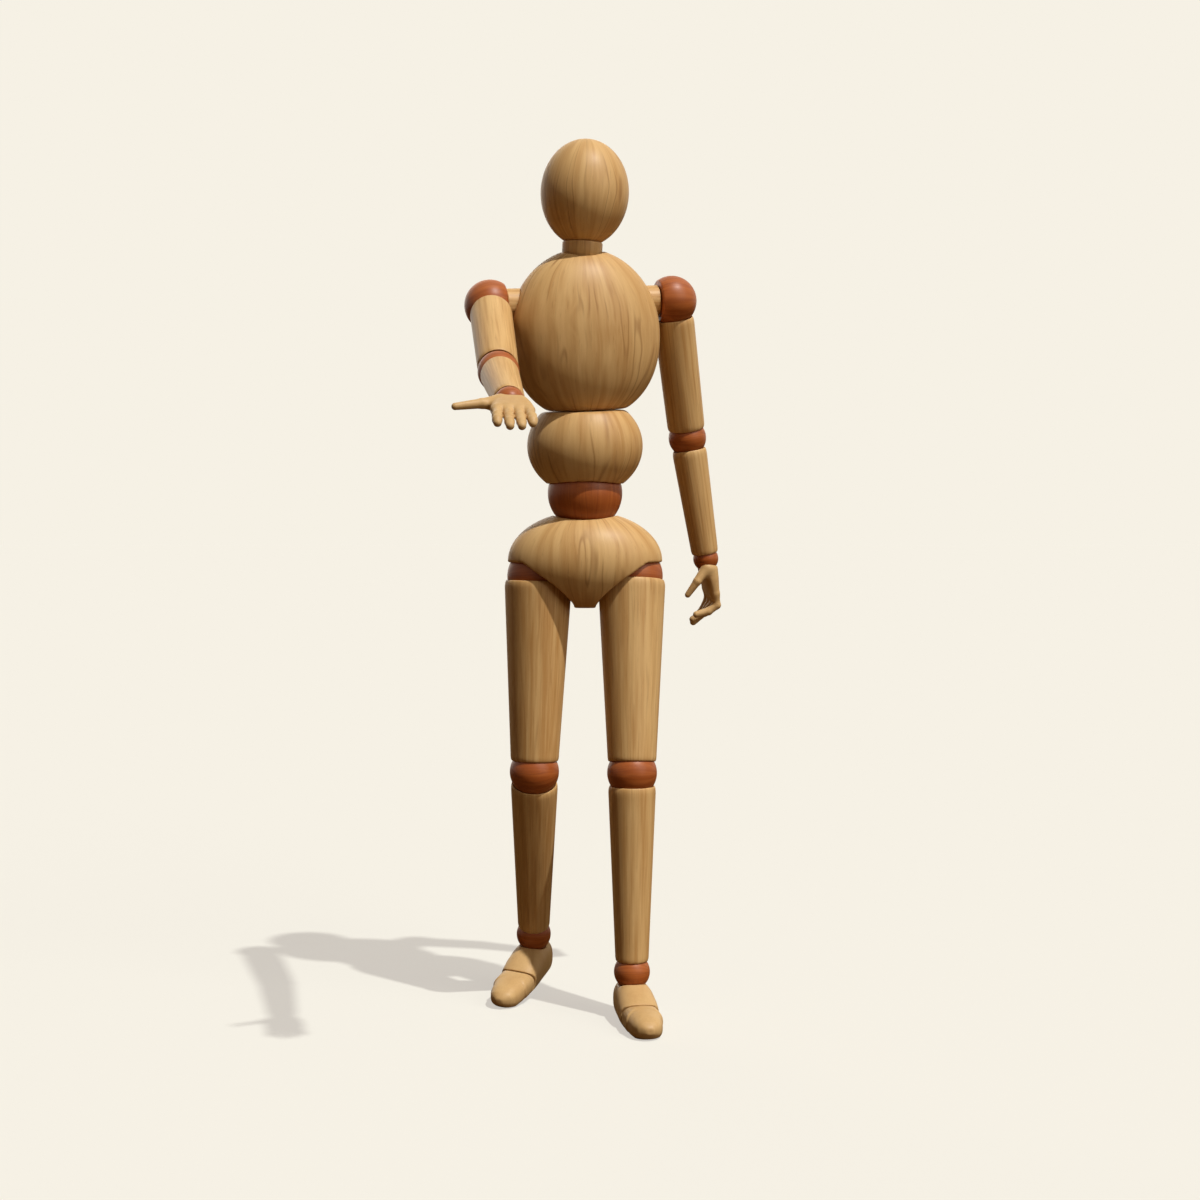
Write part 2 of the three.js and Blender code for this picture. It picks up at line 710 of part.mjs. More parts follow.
function chestBody() {
  const face = -CHEST_FACE_BELOW_CENTRE + GAP;
  const whole = egg(CHEST, -face, CHEST.height, CHEST_FULLNESS_BELOW, ROUND_EGG, 12);
  const flange = face + FLANGE_ABOVE_FACE;
  const chamber = NECK_ABOVE_CHEST - NECK_ROD_BELOW;
  const sway = NECK_ROD_BELOW * Math.sin(rad(NECK_TILT));
  const mouth = NECK_ABOVE_CHEST - 0.75 * NECK_RADIUS;
  const tools = [
    hole('z', FLANGE_RADIUS - 1.2, face - PAST, flange, ROUND_BORE, [-CHEST_SHIFT, 0, 0]),
    hole('z', FLANGE_RADIUS + 2 * LOOSE, flange, flange + 4, ROUND_BORE, [-CHEST_SHIFT, 0, 0]),
    ball(NECK_RADIUS + GAP, ROUND_LIMB).translate(0, 0, NECK_ABOVE_CHEST),
    turned([
      [0, chamber - NECK_ROD_HEAD - 1],
      [sway + NECK_ROD_HEAD + LOOSE, chamber - NECK_ROD_HEAD - 1],
      [sway + NECK_ROD_HEAD + LOOSE, chamber + NECK_ROD_HEAD],
      [sway * 0.6 + NECK_BORE + LOOSE, mouth],
      [0, mouth],
    ], 12),
  ];
  const middle = [0, SHOULDER_BACK, SHOULDER_UP];
  for (const side of [1, -1]) {
    const inner = SHOULDER_OUT - SHOULDER_BALL - STUB_INSET - STUB_IN_CHEST;
    const [from, to] = side > 0 ? [inner, 60] : [-60, -inner];
    tools.push(hole('x', STUB_RADIUS + 0.1, from, to, ROUND_ARM, middle));
    const scoop = ball(SHOULDER_BALL + 2 * GAP, ROUND_LIMB);
    tools.push(scoop.translate(side * SHOULDER_OUT, SHOULDER_BACK, SHOULDER_UP));
  }
  tools.push(hole('x', SHOULDER_CROSS_BORE, -SHOULDER_OUT, SHOULDER_OUT, ROUND_BORE, middle));
  return cut(solid(whole), ...tools.map(solid));
}

// Short dowel between the chest and the shoulder ball, along +X, from the shoulder's centre
function stubBody() {
  const inner = SHOULDER_BALL + STUB_INSET + STUB_IN_CHEST - 0.2;
  return cut(
    solid(rod('x', STUB_RADIUS, -inner, 0, ROUND_ARM)),
    solid(ball(SHOULDER_BALL + GAP, ROUND_LIMB)),
    solid(hole('x', SHOULDER_CROSS_BORE, -inner - PAST, 0, ROUND_BORE)),
  );
}

function neckBody() {
  const rim = HEAD_ABOVE_NECK - HEAD.height * eggShare(NECK_RADIUS - 0.5, HEAD.width, EGG_FULLNESS);
  const profile = [
    ...arc(0, NECK_RADIUS, -Math.acos(NECK_BORE / NECK_RADIUS), 0, 6),
    [NECK_RADIUS, rim - 0.5],
    [NECK_RADIUS - 0.5, rim - 0.1],
  ];
  for (const r of [4.6, HEAD_BORE, NECK_BORE]) {
    profile.push([r, HEAD_ABOVE_NECK - (HEAD.height + GAP) * eggShare(r, HEAD.width + GAP, EGG_FULLNESS)]);
  }
  profile.push(profile[0]);
  return solid(turned(profile, ROUND_ARM));
}

// Rod through the neck: a round head in the chest and a stem into the head, with a stop ring
function neckRod() {
  const top = HEAD_ABOVE_NECK - HEAD.height + HEAD_BORE_DEPTH - 1;
  return solid(turned([
    ...arc(-NECK_ROD_BELOW, NECK_ROD_HEAD, -Math.PI / 2, Math.PI / 2 - 0.55, 4),
    [0.95, -NECK_ROD_BELOW + NECK_ROD_HEAD + 0.2],
    [0.95, top - 4],
    [2.1, top - 4],
    [2.1, top],
    [0, top],
  ], 10));
}

function headBody() {
  return cut(
    solid(egg(HEAD, HEAD.height, HEAD.height, EGG_FULLNESS, ROUND_EGG, 10)),
    solid(hole('z', HEAD_BORE, -HEAD.height - PAST, -HEAD.height + HEAD_BORE_DEPTH, 8)),
  );
}

// Spring up the torso: a fork on the waist cross, coils, and a swivel flange in the chest
function torsoSpring() {
  const fork = surface(forkHook(FORK_SIDE, FORK_YOKE, FORK_YOKE + 5)).rotateX(Math.PI).rotateZ(Math.PI / 2);
  const lowEnd = FORK_YOKE + 5;
  const flange = CHEST_ABOVE_WAIST - CHEST_FACE_BELOW_CENTRE + FLANGE_ABOVE_FACE + GAP + LOOSE;
  const points = [];
  const steps = 5 * COIL_FACETS;
  const lowCoil = lowEnd + 1.8;
  const highCoil = flange - 3.5;
  points.push([0, 0, lowEnd + 0.4], [0, 0, lowCoil - 0.6]);
  for (let i = 0; i <= steps; i += 1) {
    const t = (2 * Math.PI * i) / COIL_FACETS;
    points.push([2.2 * Math.cos(t), 2.2 * Math.sin(t), lowCoil + ((highCoil - lowCoil) * i) / steps]);
  }
  points.push([0, 0, highCoil + 1], [0, 0, flange + 0.5]);
  return join(
    solid(fork),
    solid(wire(points, 0.7)),
    solid(rod('z', FLANGE_RADIUS, flange, flange + FLANGE_HEIGHT, 12)),
  );
}

function soleCut(reach) {
  return solid(block(-reach, reach, -reach, reach, -ANKLE_HEIGHT - reach, -ANKLE_HEIGHT));
}

function ringsBody(rings) {
  const placed = rings.map(([forward, halfWidth, bottom, top]) => (
    crossRing(-forward, halfWidth, bottom - ANKLE_HEIGHT, top - ANKLE_HEIGHT, 14)
  ));
  return cut(solid(loft(placed)), soleCut(60));
}

function footBody() {
  const hinge = [0, -FOOT_HINGE_FORWARD, TOE_AXIS_HEIGHT - ANKLE_HEIGHT];
  const steel = LEG_STEEL;
  return cut(
    ringsBody(FOOT_RINGS),
    solid(ball(ANKLE_BALL + GAP, ROUND_ARM)),
    solid(hole('x', TOE_KNUCKLE + GAP, -20, 20, 16, hinge)),
    solid(hole('z', steel.stem + 0.2, -ANKLE_HEIGHT - PAST, 0, 6)),
    solid(hole('z', steel.head + 0.3, -ANKLE_HEIGHT - PAST, -FOOT_STEM + 0.3, 8)),
  );
}

function toeBody() {
  const hinge = [0, -FOOT_HINGE_FORWARD, TOE_AXIS_HEIGHT - ANKLE_HEIGHT];
  const half = TOE_RINGS[0][1];
  return join(
    ringsBody(TOE_RINGS),
    solid(rod('x', TOE_KNUCKLE, -half + 0.3, half - 0.3, 16, hinge)),
  );
}

// Hand with the fingers along -Y, the palm facing +Z and the thumb towards -X
function handBody(shape) {
  const palm = solid(loft(PALM_RINGS.map(([forward, halfWidth, bottom, top]) => (
    crossRing(-forward, halfWidth, bottom, top, 12)
  ))));
  const fingers = FINGER_SPREAD.map((x, i) => {
    const reach = shape.reach[i];
    const low = shape.droop[i];
    const bend = shape.curl[i] > 0 ? CURL_FROM : BEND_FROM;
    return solid(finger([
      [x, -12.2, -0.5],
      [1.08 * x, -bend, -0.4 + 0.35 * low],
      [1.12 * x, -(bend + reach) / 2 - 0.4, -0.4 + low * 0.7 + 0.42 * shape.curl[i]],
      [1.12 * x, -reach + 1, -0.4 + low + shape.curl[i]],
    ], [FINGER_RADIUS, FINGER_RADIUS, 0.95 * FINGER_RADIUS, 0.82 * FINGER_RADIUS], 6));
  });
  const thumb = solid(finger(shape.thumb, [1.5, 1.35, 0.95], 6));
  const steel = ARM_STEEL;
  const stem = HAND_STEM + STEM_HEAD_LENGTH;
  return cut(
    join(palm, ...fingers, thumb),
    solid(ball(WRIST_BALL + GAP, 16)),
    solid(hole('y', steel.stem + 0.2, -HAND_STEM, 0, 6)),
    solid(hole('y', steel.head + 0.2, -stem - 0.3, -HAND_STEM + 0.3, 6)),
  );
}
// Hand with its fingers along -Z, its thumb forward and its palm towards the body
function placedHand(side, shape) {
  const turn = new THREE.Matrix4().makeBasis(
    new THREE.Vector3(0, 1, 0),
    new THREE.Vector3(0, 0, 1),
    new THREE.Vector3(-side, 0, 0),
  );
  return solid(surface(handBody(shape)).applyMatrix4(turn));
}

// Assembly
const group = new THREE.Group();
const colours = { light: [LIGHT_WOOD, 0.5, 0], stained: [STAINED_WOOD, 0.42, 0], steel: [STEEL, 0.35, 0.9] };

function place(parent, name, body, finish) {
  const [color, roughness, metalness] = colours[finish];
  const material = new THREE.MeshStandardMaterial({ color, roughness, metalness });
  const mesh = new THREE.Mesh(surface(body), material);
  mesh.name = name;
  parent.add(mesh);
  return mesh;
}

function pivot(parent, name, x, y, z, turnX = 0, turnY = 0, turnZ = 0) {
  const joint = new THREE.Group();
  joint.name = name;
  joint.position.set(x, y, z);
  joint.rotation.set(rad(turnX), rad(turnY), rad(turnZ), 'XYZ');
  parent.add(joint);
  return joint;
}

function addLeg(pelvis, side) {
  const label = side > 0 ? 'left' : 'right';
  const pose = POSE[label];
  const steel = LEG_STEEL;
  const inward = HIP_OUT - HIP_HEAD_OUT;
  const swing = pivot(pelvis, `${label}_hip_swing`, side * HIP_OUT, 0, -HIP_DOWN, -pose.hipSwing);
  const hipBall = stirrupBall(steel, HIP_BALL, HIP_SPREAD, ROUND_ARM, 0);
  const hipStirrup = stirrup(steel, inward);
  place(swing, `${label}_hip_ball`, sided(hipBall, side), 'stained');
  place(swing, `${label}_hip_anchor`, sided(hipStirrup, side), 'steel');
  const thigh = pivot(swing, `${label}_hip_spread`, 0, 0, 0, 0, -side * pose.hipSpread);
  const thighBody = limb(THIGH, HIP_BALL, KNEE_BALL, LEG_BORE, THIGH_TOP_LIP, ROUND_LIMB);
  place(thigh, `${label}_thigh`, solid(thighBody), 'light');
  const thighSpring = limbSpring(steel, THIGH, HIP_BALL, KNEE_BALL, 'cross', 'shared');
  place(thigh, `${label}_thigh_spring`, solid(thighSpring), 'steel');
  const kneeUpper = pivot(thigh, `${label}_knee_upper`, 0, 0, -THIGH.length);
  place(kneeUpper, `${label}_knee_ball`, pinnedBall(steel, KNEE_BALL, KNEE_HALF_BEND, ROUND_ARM), 'stained');
  const pinHalf = KNEE_BALL - PIN_INSET;
  place(kneeUpper, `${label}_knee_pin`, solid(rod('x', steel.pin, -pinHalf, pinHalf, 8)), 'steel');
  const shin = pivot(kneeUpper, `${label}_knee_lower`, 0, 0, 0);
  place(shin, `${label}_shin`, solid(limb(SHIN, KNEE_BALL, ANKLE_BALL, LEG_BORE, LIP, ROUND_LIMB)), 'light');
  const shinSpring = limbSpring(steel, SHIN, KNEE_BALL, ANKLE_BALL, 'shared', 'single');
  place(shin, `${label}_shin_spring`, solid(shinSpring), 'steel');
  const tilt = pivot(shin, `${label}_ankle_tilt`, 0, 0, -SHIN.length);
  const ankleBall = stemDown(stirrupBall(steel, ANKLE_BALL, ANKLE_TILT, ROUND_ARM, -Math.PI / 2));
  place(tilt, `${label}_ankle_ball`, ankleBall, 'stained');
  place(tilt, `${label}_ankle_anchor`, stemDown(stirrup(steel, FOOT_STEM)), 'steel');
  const foot = pivot(tilt, `${label}_ankle_turn`, 0, 0, 0, 0, 0, side * pose.ankleTurn);
  place(foot, `${label}_foot`, footBody(), 'light');
  const hingeZ = TOE_AXIS_HEIGHT - ANKLE_HEIGHT;
  const toe = pivot(foot, `${label}_toe_bend`, 0, -FOOT_HINGE_FORWARD, hingeZ, -pose.toe);
  const toeMesh = place(toe, `${label}_toe`, toeBody(), 'light');
  toeMesh.position.set(0, FOOT_HINGE_FORWARD, -hingeZ);
  const setKnee = (knee, pitch) => {
    kneeUpper.rotation.x = rad(knee / 2);
    shin.rotation.x = rad(knee / 2);
    tilt.rotation.x = rad(pitch + pose.hipSwing - knee);
  };
  return { setKnee, foot };
}
// Left pieces as they are, right pieces mirrored across the middle plane
function sided(body, side) {
  return side > 0 ? body : solid(surface(body).scale(-1, 1, 1));
}

function addArm(chest, side) {
  const label = side > 0 ? 'left' : 'right';
  const pose = POSE[label];
  const steel = ARM_STEEL;
  const stub = pivot(chest, '', side * SHOULDER_OUT, SHOULDER_BACK, SHOULDER_UP);
  place(stub, `${label}_clavicle`, sided(stubBody(), side), 'light');
  const at = [side * SHOULDER_OUT, SHOULDER_BACK, SHOULDER_UP];
  const swing = pivot(chest, `${label}_shoulder_swing`, ...at, -pose.shoulderSwing);
  const shoulderBall = stirrupBall(steel, SHOULDER_BALL, SHOULDER_SPREAD, ROUND_ARM, 0);
  place(swing, `${label}_shoulder_ball`, sided(shoulderBall, side), 'stained');
  const anchor = stirrup(steel, SHOULDER_OUT - SHOULDER_HEAD_OUT);
  place(swing, `${label}_shoulder_anchor`, sided(anchor, side), 'steel');
  const upper = pivot(swing, `${label}_shoulder_spread`, 0, 0, 0, 0, -side * pose.shoulderSpread);
  const upperBody = limb(UPPER_ARM, SHOULDER_BALL, ELBOW_BALL, ARM_BORE, LIP, ROUND_ARM);
  place(upper, `${label}_upper_arm`, solid(upperBody), 'light');
  const upperSpring = limbSpring(steel, UPPER_ARM, SHOULDER_BALL, ELBOW_BALL, 'cross', 'shared');
  place(upper, `${label}_upper_arm_spring`, solid(upperSpring), 'steel');
  const half = -pose.elbow / 2;
  const elbow = pivot(upper, `${label}_elbow_upper`, 0, 0, -UPPER_ARM.length, half);
  place(elbow, `${label}_elbow_ball`, pinnedBall(steel, ELBOW_BALL, ELBOW_HALF_BEND, ROUND_ARM), 'stained');
  const pinHalf = ELBOW_BALL - PIN_INSET;
  place(elbow, `${label}_elbow_pin`, solid(rod('x', steel.pin, -pinHalf, pinHalf, 8)), 'steel');
  const forearm = pivot(elbow, `${label}_elbow_lower`, 0, 0, 0, half);
  const foreBody = limb(FOREARM, ELBOW_BALL, WRIST_BALL, ARM_BORE, LIP, ROUND_ARM);
  place(forearm, `${label}_forearm`, solid(foreBody), 'light');
  const foreSpring = limbSpring(steel, FOREARM, ELBOW_BALL, WRIST_BALL, 'shared', 'single');
  place(forearm, `${label}_forearm_spring`, solid(foreSpring), 'steel');
  const bend = pivot(forearm, `${label}_wrist_bend`, 0, 0, -FOREARM.length, -pose.wristBend);
  const wristBall = stemDown(stirrupBall(steel, WRIST_BALL, WRIST_BEND, 14, -Math.PI / 2));
  place(bend, `${label}_wrist_ball`, wristBall, 'stained');
  place(bend, `${label}_wrist_anchor`, stemDown(stirrup(steel, HAND_STEM)), 'steel');
  const hand = pivot(bend, `${label}_wrist_turn`, 0, 0, 0, 0, 0, pose.wristTurn);
  place(hand, `${label}_hand`, placedHand(side, side > 0 ? CURLED_HAND : OPEN_HAND), 'light');
}

const leftShin = POSE.left.hipSwing - POSE.left.knee;
const hipHeight = ANKLE_HEIGHT + THIGH.length * Math.cos(rad(POSE.left.hipSwing))
  + SHIN.length * Math.cos(rad(leftShin));
const pelvis = pivot(group, '', 0, 0, hipHeight + HIP_DOWN);
place(pelvis, 'pelvis', pelvisBody(), 'light');
const hipSleeve = sleeve(HIP_HEAD_OUT + 1.6, 2.05, LEG_STEEL.head + 0.15, LEG_STEEL.stem + 0.15, 0.6);
place(pelvis, 'pelvis_spring', solid(hipSleeve.translate(0, 0, -HIP_DOWN)), 'steel');
const hook = surface(forkHook(FORK_SIDE, FORK_YOKE, WAIST_ABOVE_PELVIS - 4));
place(pelvis, 'pelvis_hook', solid(hook.translate(0, 0, WAIST_ABOVE_PELVIS)), 'steel');
const leftLeg = addLeg(pelvis, 1);
leftLeg.setKnee(POSE.left.knee, 0);
const rightLeg = addLeg(pelvis, -1);

const waist = pivot(pelvis, 'waist_bend', 0, 0, WAIST_ABOVE_PELVIS, POSE.waistBend);
place(waist, 'waist_ball', waistBall(), 'stained');
place(waist, 'waist_cross', waistCross(), 'steel');
const abdomen = pivot(waist, 'waist_side', 0, 0, 0, 0, POSE.waistSide);
const abdomenMesh = place(abdomen, 'abdomen', abdomenBody(), 'light');
abdomenMesh.position.z = ABDOMEN_ABOVE_WAIST;
place(abdomen, 'torso_spring', torsoSpring(), 'steel');
const facePivot = CHEST_ABOVE_WAIST - CHEST_FACE_BELOW_CENTRE;
const chestTurn = pivot(abdomen, 'chest_turn', 0, 0, facePivot, 0, CHEST_LEAN, POSE.chestTurn);
const chest = pivot(chestTurn, '', CHEST_SHIFT, 0, CHEST_FACE_BELOW_CENTRE);
place(chest, 'chest', chestBody(), 'light');
const shoulderSleeve = sleeve(SHOULDER_HEAD_OUT + 1.7, 2.2, ARM_STEEL.head + 0.3, ARM_STEEL.stem + 0.2, 0.7);
shoulderSleeve.translate(0, SHOULDER_BACK, SHOULDER_UP);
place(chest, 'chest_spring', solid(shoulderSleeve), 'steel');
addArm(chest, 1);
addArm(chest, -1);
const neck = pivot(chest, 'neck_tilt', 0, 0, NECK_ABOVE_CHEST, POSE.neckTilt, POSE.neckLean);
place(neck, 'neck', neckBody(), 'light');
place(neck, 'neck_rod', neckRod(), 'steel');
const headTurn = pivot(neck, 'head_turn', 0, 0, 0, 0, 0, POSE.headTurn);
const headMesh = place(headTurn, 'head', headBody(), 'light');
headMesh.position.z = HEAD_ABOVE_NECK;

// Lowest height of everything below a joint
function lowest(joint) {
  group.updateMatrixWorld(true);
  return new THREE.Box3().setFromObject(joint, true).min.z;
}

// The right knee bends until the raised foot's toe just meets the floor
let [straight, bent] = [0, 2 * KNEE_HALF_BEND];
for (let i = 0; i < 24; i += 1) {
  const knee = (straight + bent) / 2;
  rightLeg.setKnee(knee, POSE.right.footPitch);
  if (lowest(rightLeg.foot) < 0) {
    straight = knee;
  } else {
    bent = knee;
  }
}

// The origin is the centre of the bounding box's bottom face
group.updateMatrixWorld(true);
const box = new THREE.Box3().setFromObject(group, true);
const middle = box.getCenter(new THREE.Vector3());
pelvis.position.x -= middle.x;
pelvis.position.y -= middle.y;
pelvis.position.z -= box.min.z;
group.updateMatrixWorld(true);

export default group;
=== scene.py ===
import json
import math

import bpy
import numpy as np
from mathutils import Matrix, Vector


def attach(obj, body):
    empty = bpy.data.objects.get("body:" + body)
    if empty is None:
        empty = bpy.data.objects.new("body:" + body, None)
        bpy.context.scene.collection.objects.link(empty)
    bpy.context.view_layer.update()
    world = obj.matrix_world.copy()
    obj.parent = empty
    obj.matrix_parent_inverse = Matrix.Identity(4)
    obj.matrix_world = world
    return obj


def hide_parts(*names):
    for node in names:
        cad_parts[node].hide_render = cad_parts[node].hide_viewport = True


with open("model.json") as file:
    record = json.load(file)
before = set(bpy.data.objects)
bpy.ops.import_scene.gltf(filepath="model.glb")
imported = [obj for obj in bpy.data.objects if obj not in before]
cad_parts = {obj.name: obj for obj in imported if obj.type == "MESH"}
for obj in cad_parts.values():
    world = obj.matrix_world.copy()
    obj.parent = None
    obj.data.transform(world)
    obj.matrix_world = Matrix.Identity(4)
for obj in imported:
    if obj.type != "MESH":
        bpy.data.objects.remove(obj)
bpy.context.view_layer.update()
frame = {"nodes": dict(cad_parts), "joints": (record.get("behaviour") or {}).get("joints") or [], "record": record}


# The pelvis: the widest turned piece of pale hardwood, a flattened egg with a cup above for the
# waist ball and two slanting pockets below, wide enough for the rims of the thighs to swing in.
# It is shaped on its own axes in millimetres, and then set down where the hips are.
MM = 0.001
SIDES = (("left", 1), ("right", -1))
hinge = {j["name"]: j for j in frame["joints"]}
PELVIS_HALF = (26.3, 16.8, 17.0)
WAIST_BALL = 12.7
HIP_BALL = 10.6
HIP_OUT, HIP_DOWN = 15.9, 5.1
WAIST_UP = 23.1
THIGH_TOP = 11.4
PLAY = 0.3
HIP_BOWL, HIP_BRIM = 11.82, 0.5
THIGH_SWINGS = (-16, 4, 24)
THIGH_SPREADS = (-3, 14)
PELVIS_FACE = 16.0


def place_on(origin, x_way, z_way):
    """Place of a piece as a 4x4: its own Z runs along z_way, its X along what x_way leaves square to that,
    its Y completes them, and its origin is in metres while its own lengths are in millimetres."""
    z = np.array(z_way, float) / np.linalg.norm(z_way)
    x = np.array(x_way, float) - z * np.dot(x_way, z)
    x /= np.linalg.norm(x)
    place = np.eye(4)
    place[:3, :3] = np.stack([x, np.cross(z, x), z], axis=1) * MM
    place[:3, 3] = origin
    return place


def moved(place, x=0.0, y=0.0, z=0.0):
    """The same axes with the origin moved by x, y, z millimetres along them."""
    shifted = place.copy()
    shifted[:3, 3] = place[:3, :3] @ np.array([x, y, z]) + place[:3, 3]
    return shifted


def hinge_at(name):
    return np.array(hinge[name]["pos_m"])


def way(name, sign=1.0):
    return sign * np.array(hinge[name]["axis"])


def egg_field(p, half, fullness=2.0):
    """Roughly the distance from an egg: the length of (x/a, y/b) and z/c taken with the power
    `fullness`, less one, divided by its own slope. It is negative inside."""
    a, b, c = half
    flat = np.sqrt((p[0] / a) ** 2 + (p[1] / b) ** 2)
    whole = (flat**fullness + np.abs(p[2] / c) ** fullness) ** (1 / fullness)
    slope = np.sqrt((p[0] / a**2) ** 2 + (p[1] / b**2) ** 2 + (p[2] / c**2) ** 2) + 1e-6
    return (whole - 1) * np.maximum(whole, 0.2) / slope


def ball_field(p, centre, radius):
    """Distance from a ball, negative inside."""
    return np.sqrt(sum((p[k] - centre[k]) ** 2 for k in range(3))) - radius


def bar_field(p, start, end, radius):
    """Distance from a round bar with flat ends: the larger of how far a point is from its side
    and how far it is past either end."""
    s, e = np.array(start, float), np.array(end, float)
    length = np.linalg.norm(e - s)
    u = (e - s) / length
    along = sum((p[k] - s[k]) * u[k] for k in range(3))
    across = np.sqrt(np.maximum(sum((p[k] - s[k]) ** 2 for k in range(3)) - along**2, 0))
    return np.maximum(across - radius, np.maximum(-along, along - length))


def blend_in(a, b, width):
    """The smaller of two distances, with the corner between them filled over `width`."""
    near = np.maximum(width - np.abs(a - b), 0) / width
    return np.minimum(a, b) - near**2 * width / 4


def carve(a, tool, width=0.5):
    """What is left of a when a tool is taken out of it, with the new edge rounded over `width`."""
    return -blend_in(-a, tool, width)


def skin(field, low, high, step):
    """Surface where the field is zero, as points and quads. The field is sampled on a grid of cells.
    Each cell that the surface crosses gets one point, the mean of where its edges are crossed, and
    each crossed edge gets one quad through the four cells round it. Then every point slides down the
    field's slope onto the surface."""
    axes = [np.arange(low[k], high[k] + step, step) for k in range(3)]
    value = field(np.stack(np.meshgrid(*axes, indexing="ij")))
    inside = value < 0
    cells = tuple(n - 1 for n in value.shape)
    total = np.zeros(cells + (3,))
    count = np.zeros(cells)
    corners = [(0, 0), (1, 0), (0, 1), (1, 1)]
    for k in range(3):
        first = [slice(None)] * 3
        second = [slice(None)] * 3
        first[k], second[k] = slice(0, -1), slice(1, None)
        a, b = value[tuple(first)], value[tuple(second)]
        crossed = inside[tuple(first)] != inside[tuple(second)]
        share = np.where(crossed, a / np.where(crossed, a - b, 1), 0)
        others = [m for m in range(3) if m != k]
        for corner in corners:
            part = [slice(None)] * 3
            for m, off in zip(others, corner):
                part[m] = slice(off, off + cells[m])
            hit = crossed[tuple(part)]
            at = np.zeros(cells + (3,))
            at[..., k] = share[tuple(part)]
            for m, off in zip(others, corner):
                at[..., m] = off
            total += at * hit[..., None]
            count += hit
    used = count > 0
    number = np.full(cells, -1)
    number[used] = np.arange(used.sum())
    where = np.argwhere(used)
    points = (where + total[used] / count[used][:, None]) * step + np.array(low)
    quads = []
    for k in range(3):
        m, n = (k + 1) % 3, (k + 2) % 3
        first = [slice(1, -1)] * 3
        second = [slice(1, -1)] * 3
        first[k], second[k] = slice(0, -1), slice(1, None)
        a, b = inside[tuple(first)], inside[tuple(second)]
        edge = np.argwhere(a != b)
        leaving = a[tuple(edge.T)]
        base = edge.copy()
        base[:, m] += 1
        base[:, n] += 1
        ring = []
        for dm, dn in [(-1, -1), (0, -1), (0, 0), (-1, 0)]:
            cell = base.copy()
            cell[:, m] += dm
            cell[:, n] += dn
            ring.append(number[tuple(cell.T)])
        quad = np.stack(ring, axis=1)
        quad[~leaving] = quad[~leaving][:, ::-1]
        quads.append(quad)
    tiny = 0.05 * step
    for _ in range(3):
        p = points.T
        here = field(p)
        slope = np.stack([
            (field(p + tiny * np.eye(3)[:, k:k + 1]) - field(p - tiny * np.eye(3)[:, k:k + 1])) / (2 * tiny)
            for k in range(3)
        ])
        size = np.maximum((slope**2).sum(0), 0.25)
        stride = np.clip(here / size, -0.5 * step, 0.5 * step)
        points = points - (slope * stride).T
    return points, np.concatenate(quads).tolist()


def colour(red, green, blue):
    """A colour as it looks on a screen, 0 to 255, turned into the linear values of a material."""
    c = np.array([red, green, blue]) / 255
    linear = np.where(c <= 0.04045, c / 12.92, ((c + 0.055) / 1.055) ** 2.4)
    return (*linear.tolist(), 1.0)


def socket(group, name, kind, way_in, value=None):
    made = group.interface.new_socket(name=name, in_out="INPUT" if way_in else "OUTPUT", socket_type=kind)
    if value is not None:
        made.default_value = value
    return made


def node(tree, kind, **settings):
    """One node of a material or group; words with a capital set its inputs, the rest its properties."""
    made = tree.nodes.new(kind)
    for key, value in settings.items():
        if key[0].isupper():
            made.inputs[key].default_value = value
        else:
            setattr(made, key, value)
    return made


def sum_of(tree, operation, first, second=None, third=None):
    """A Math node; each of its inputs is a number or another node's output."""
    made = tree.nodes.new("ShaderNodeMath")
    made.operation = operation
    for i, source in enumerate((first, second, third)):
        if source is None:
            continue
        if isinstance(source, (int, float)):
            made.inputs[i].default_value = source
        else:
            tree.links.new(source, made.inputs[i])
    return made.outputs[0]


def range_of(tree, source, low, high, to_low=0.0, to_high=1.0):
    """A smooth step: below low gives to_low, above high gives to_high, and it eases between them."""
    made = node(tree, "ShaderNodeMapRange", interpolation_type="SMOOTHSTEP")
    for name, value in (("From Min", low), ("From Max", high), ("To Min", to_low), ("To Max", to_high)):
        made.inputs[name].default_value = value
    tree.links.new(source, made.inputs["Value"])
    return made.outputs["Result"]


def scaled(tree, vector, x, y, z):
    made = node(tree, "ShaderNodeVectorMath", operation="MULTIPLY")
    tree.links.new(vector, made.inputs[0])
    made.inputs[1].default_value = (x, y, z)
    return made.outputs[0]


def noise_of(tree, vector, scale, detail=3.0, roughness=0.55, distortion=0.0):
    made = node(
        tree, "ShaderNodeTexNoise", Scale=scale, Detail=detail, Roughness=roughness, Distortion=distortion
    )
    tree.links.new(vector, made.inputs["Vector"])
    return made.outputs["Fac"]


# Streaks of the wood: soft bands that run along the piece and sway a little, with thin dark
# lines and thin pale lines among them, as rings show where a cut lies nearly along them.
streaks = bpy.data.node_groups.new("streaks", "ShaderNodeTree")
socket(streaks, "Place", "NodeSocketVector", True)
socket(streaks, "Width", "NodeSocketFloat", True, 2.0)
socket(streaks, "Sway", "NodeSocketFloat", True, 2.0)
socket(streaks, "Band", "NodeSocketFloat", False)
socket(streaks, "Line", "NodeSocketFloat", False)
socket(streaks, "Pale", "NodeSocketFloat", False)
socket(streaks, "Board", "NodeSocketFloat", False)
t = streaks
enter = node(t, "NodeGroupInput")
leave = node(t, "NodeGroupOutput")
drift = node(t, "ShaderNodeTexNoise", Scale=0.09, Detail=0.5)
t.links.new(scaled(t, enter.outputs["Place"], 1, 1, 0.7), drift.inputs["Vector"])
centred = node(t, "ShaderNodeVectorMath", operation="SUBTRACT")
t.links.new(drift.outputs["Color"], centred.inputs[0])
centred.inputs[1].default_value = (0.5, 0.5, 0.5)
pushed = node(t, "ShaderNodeVectorMath", operation="SCALE")
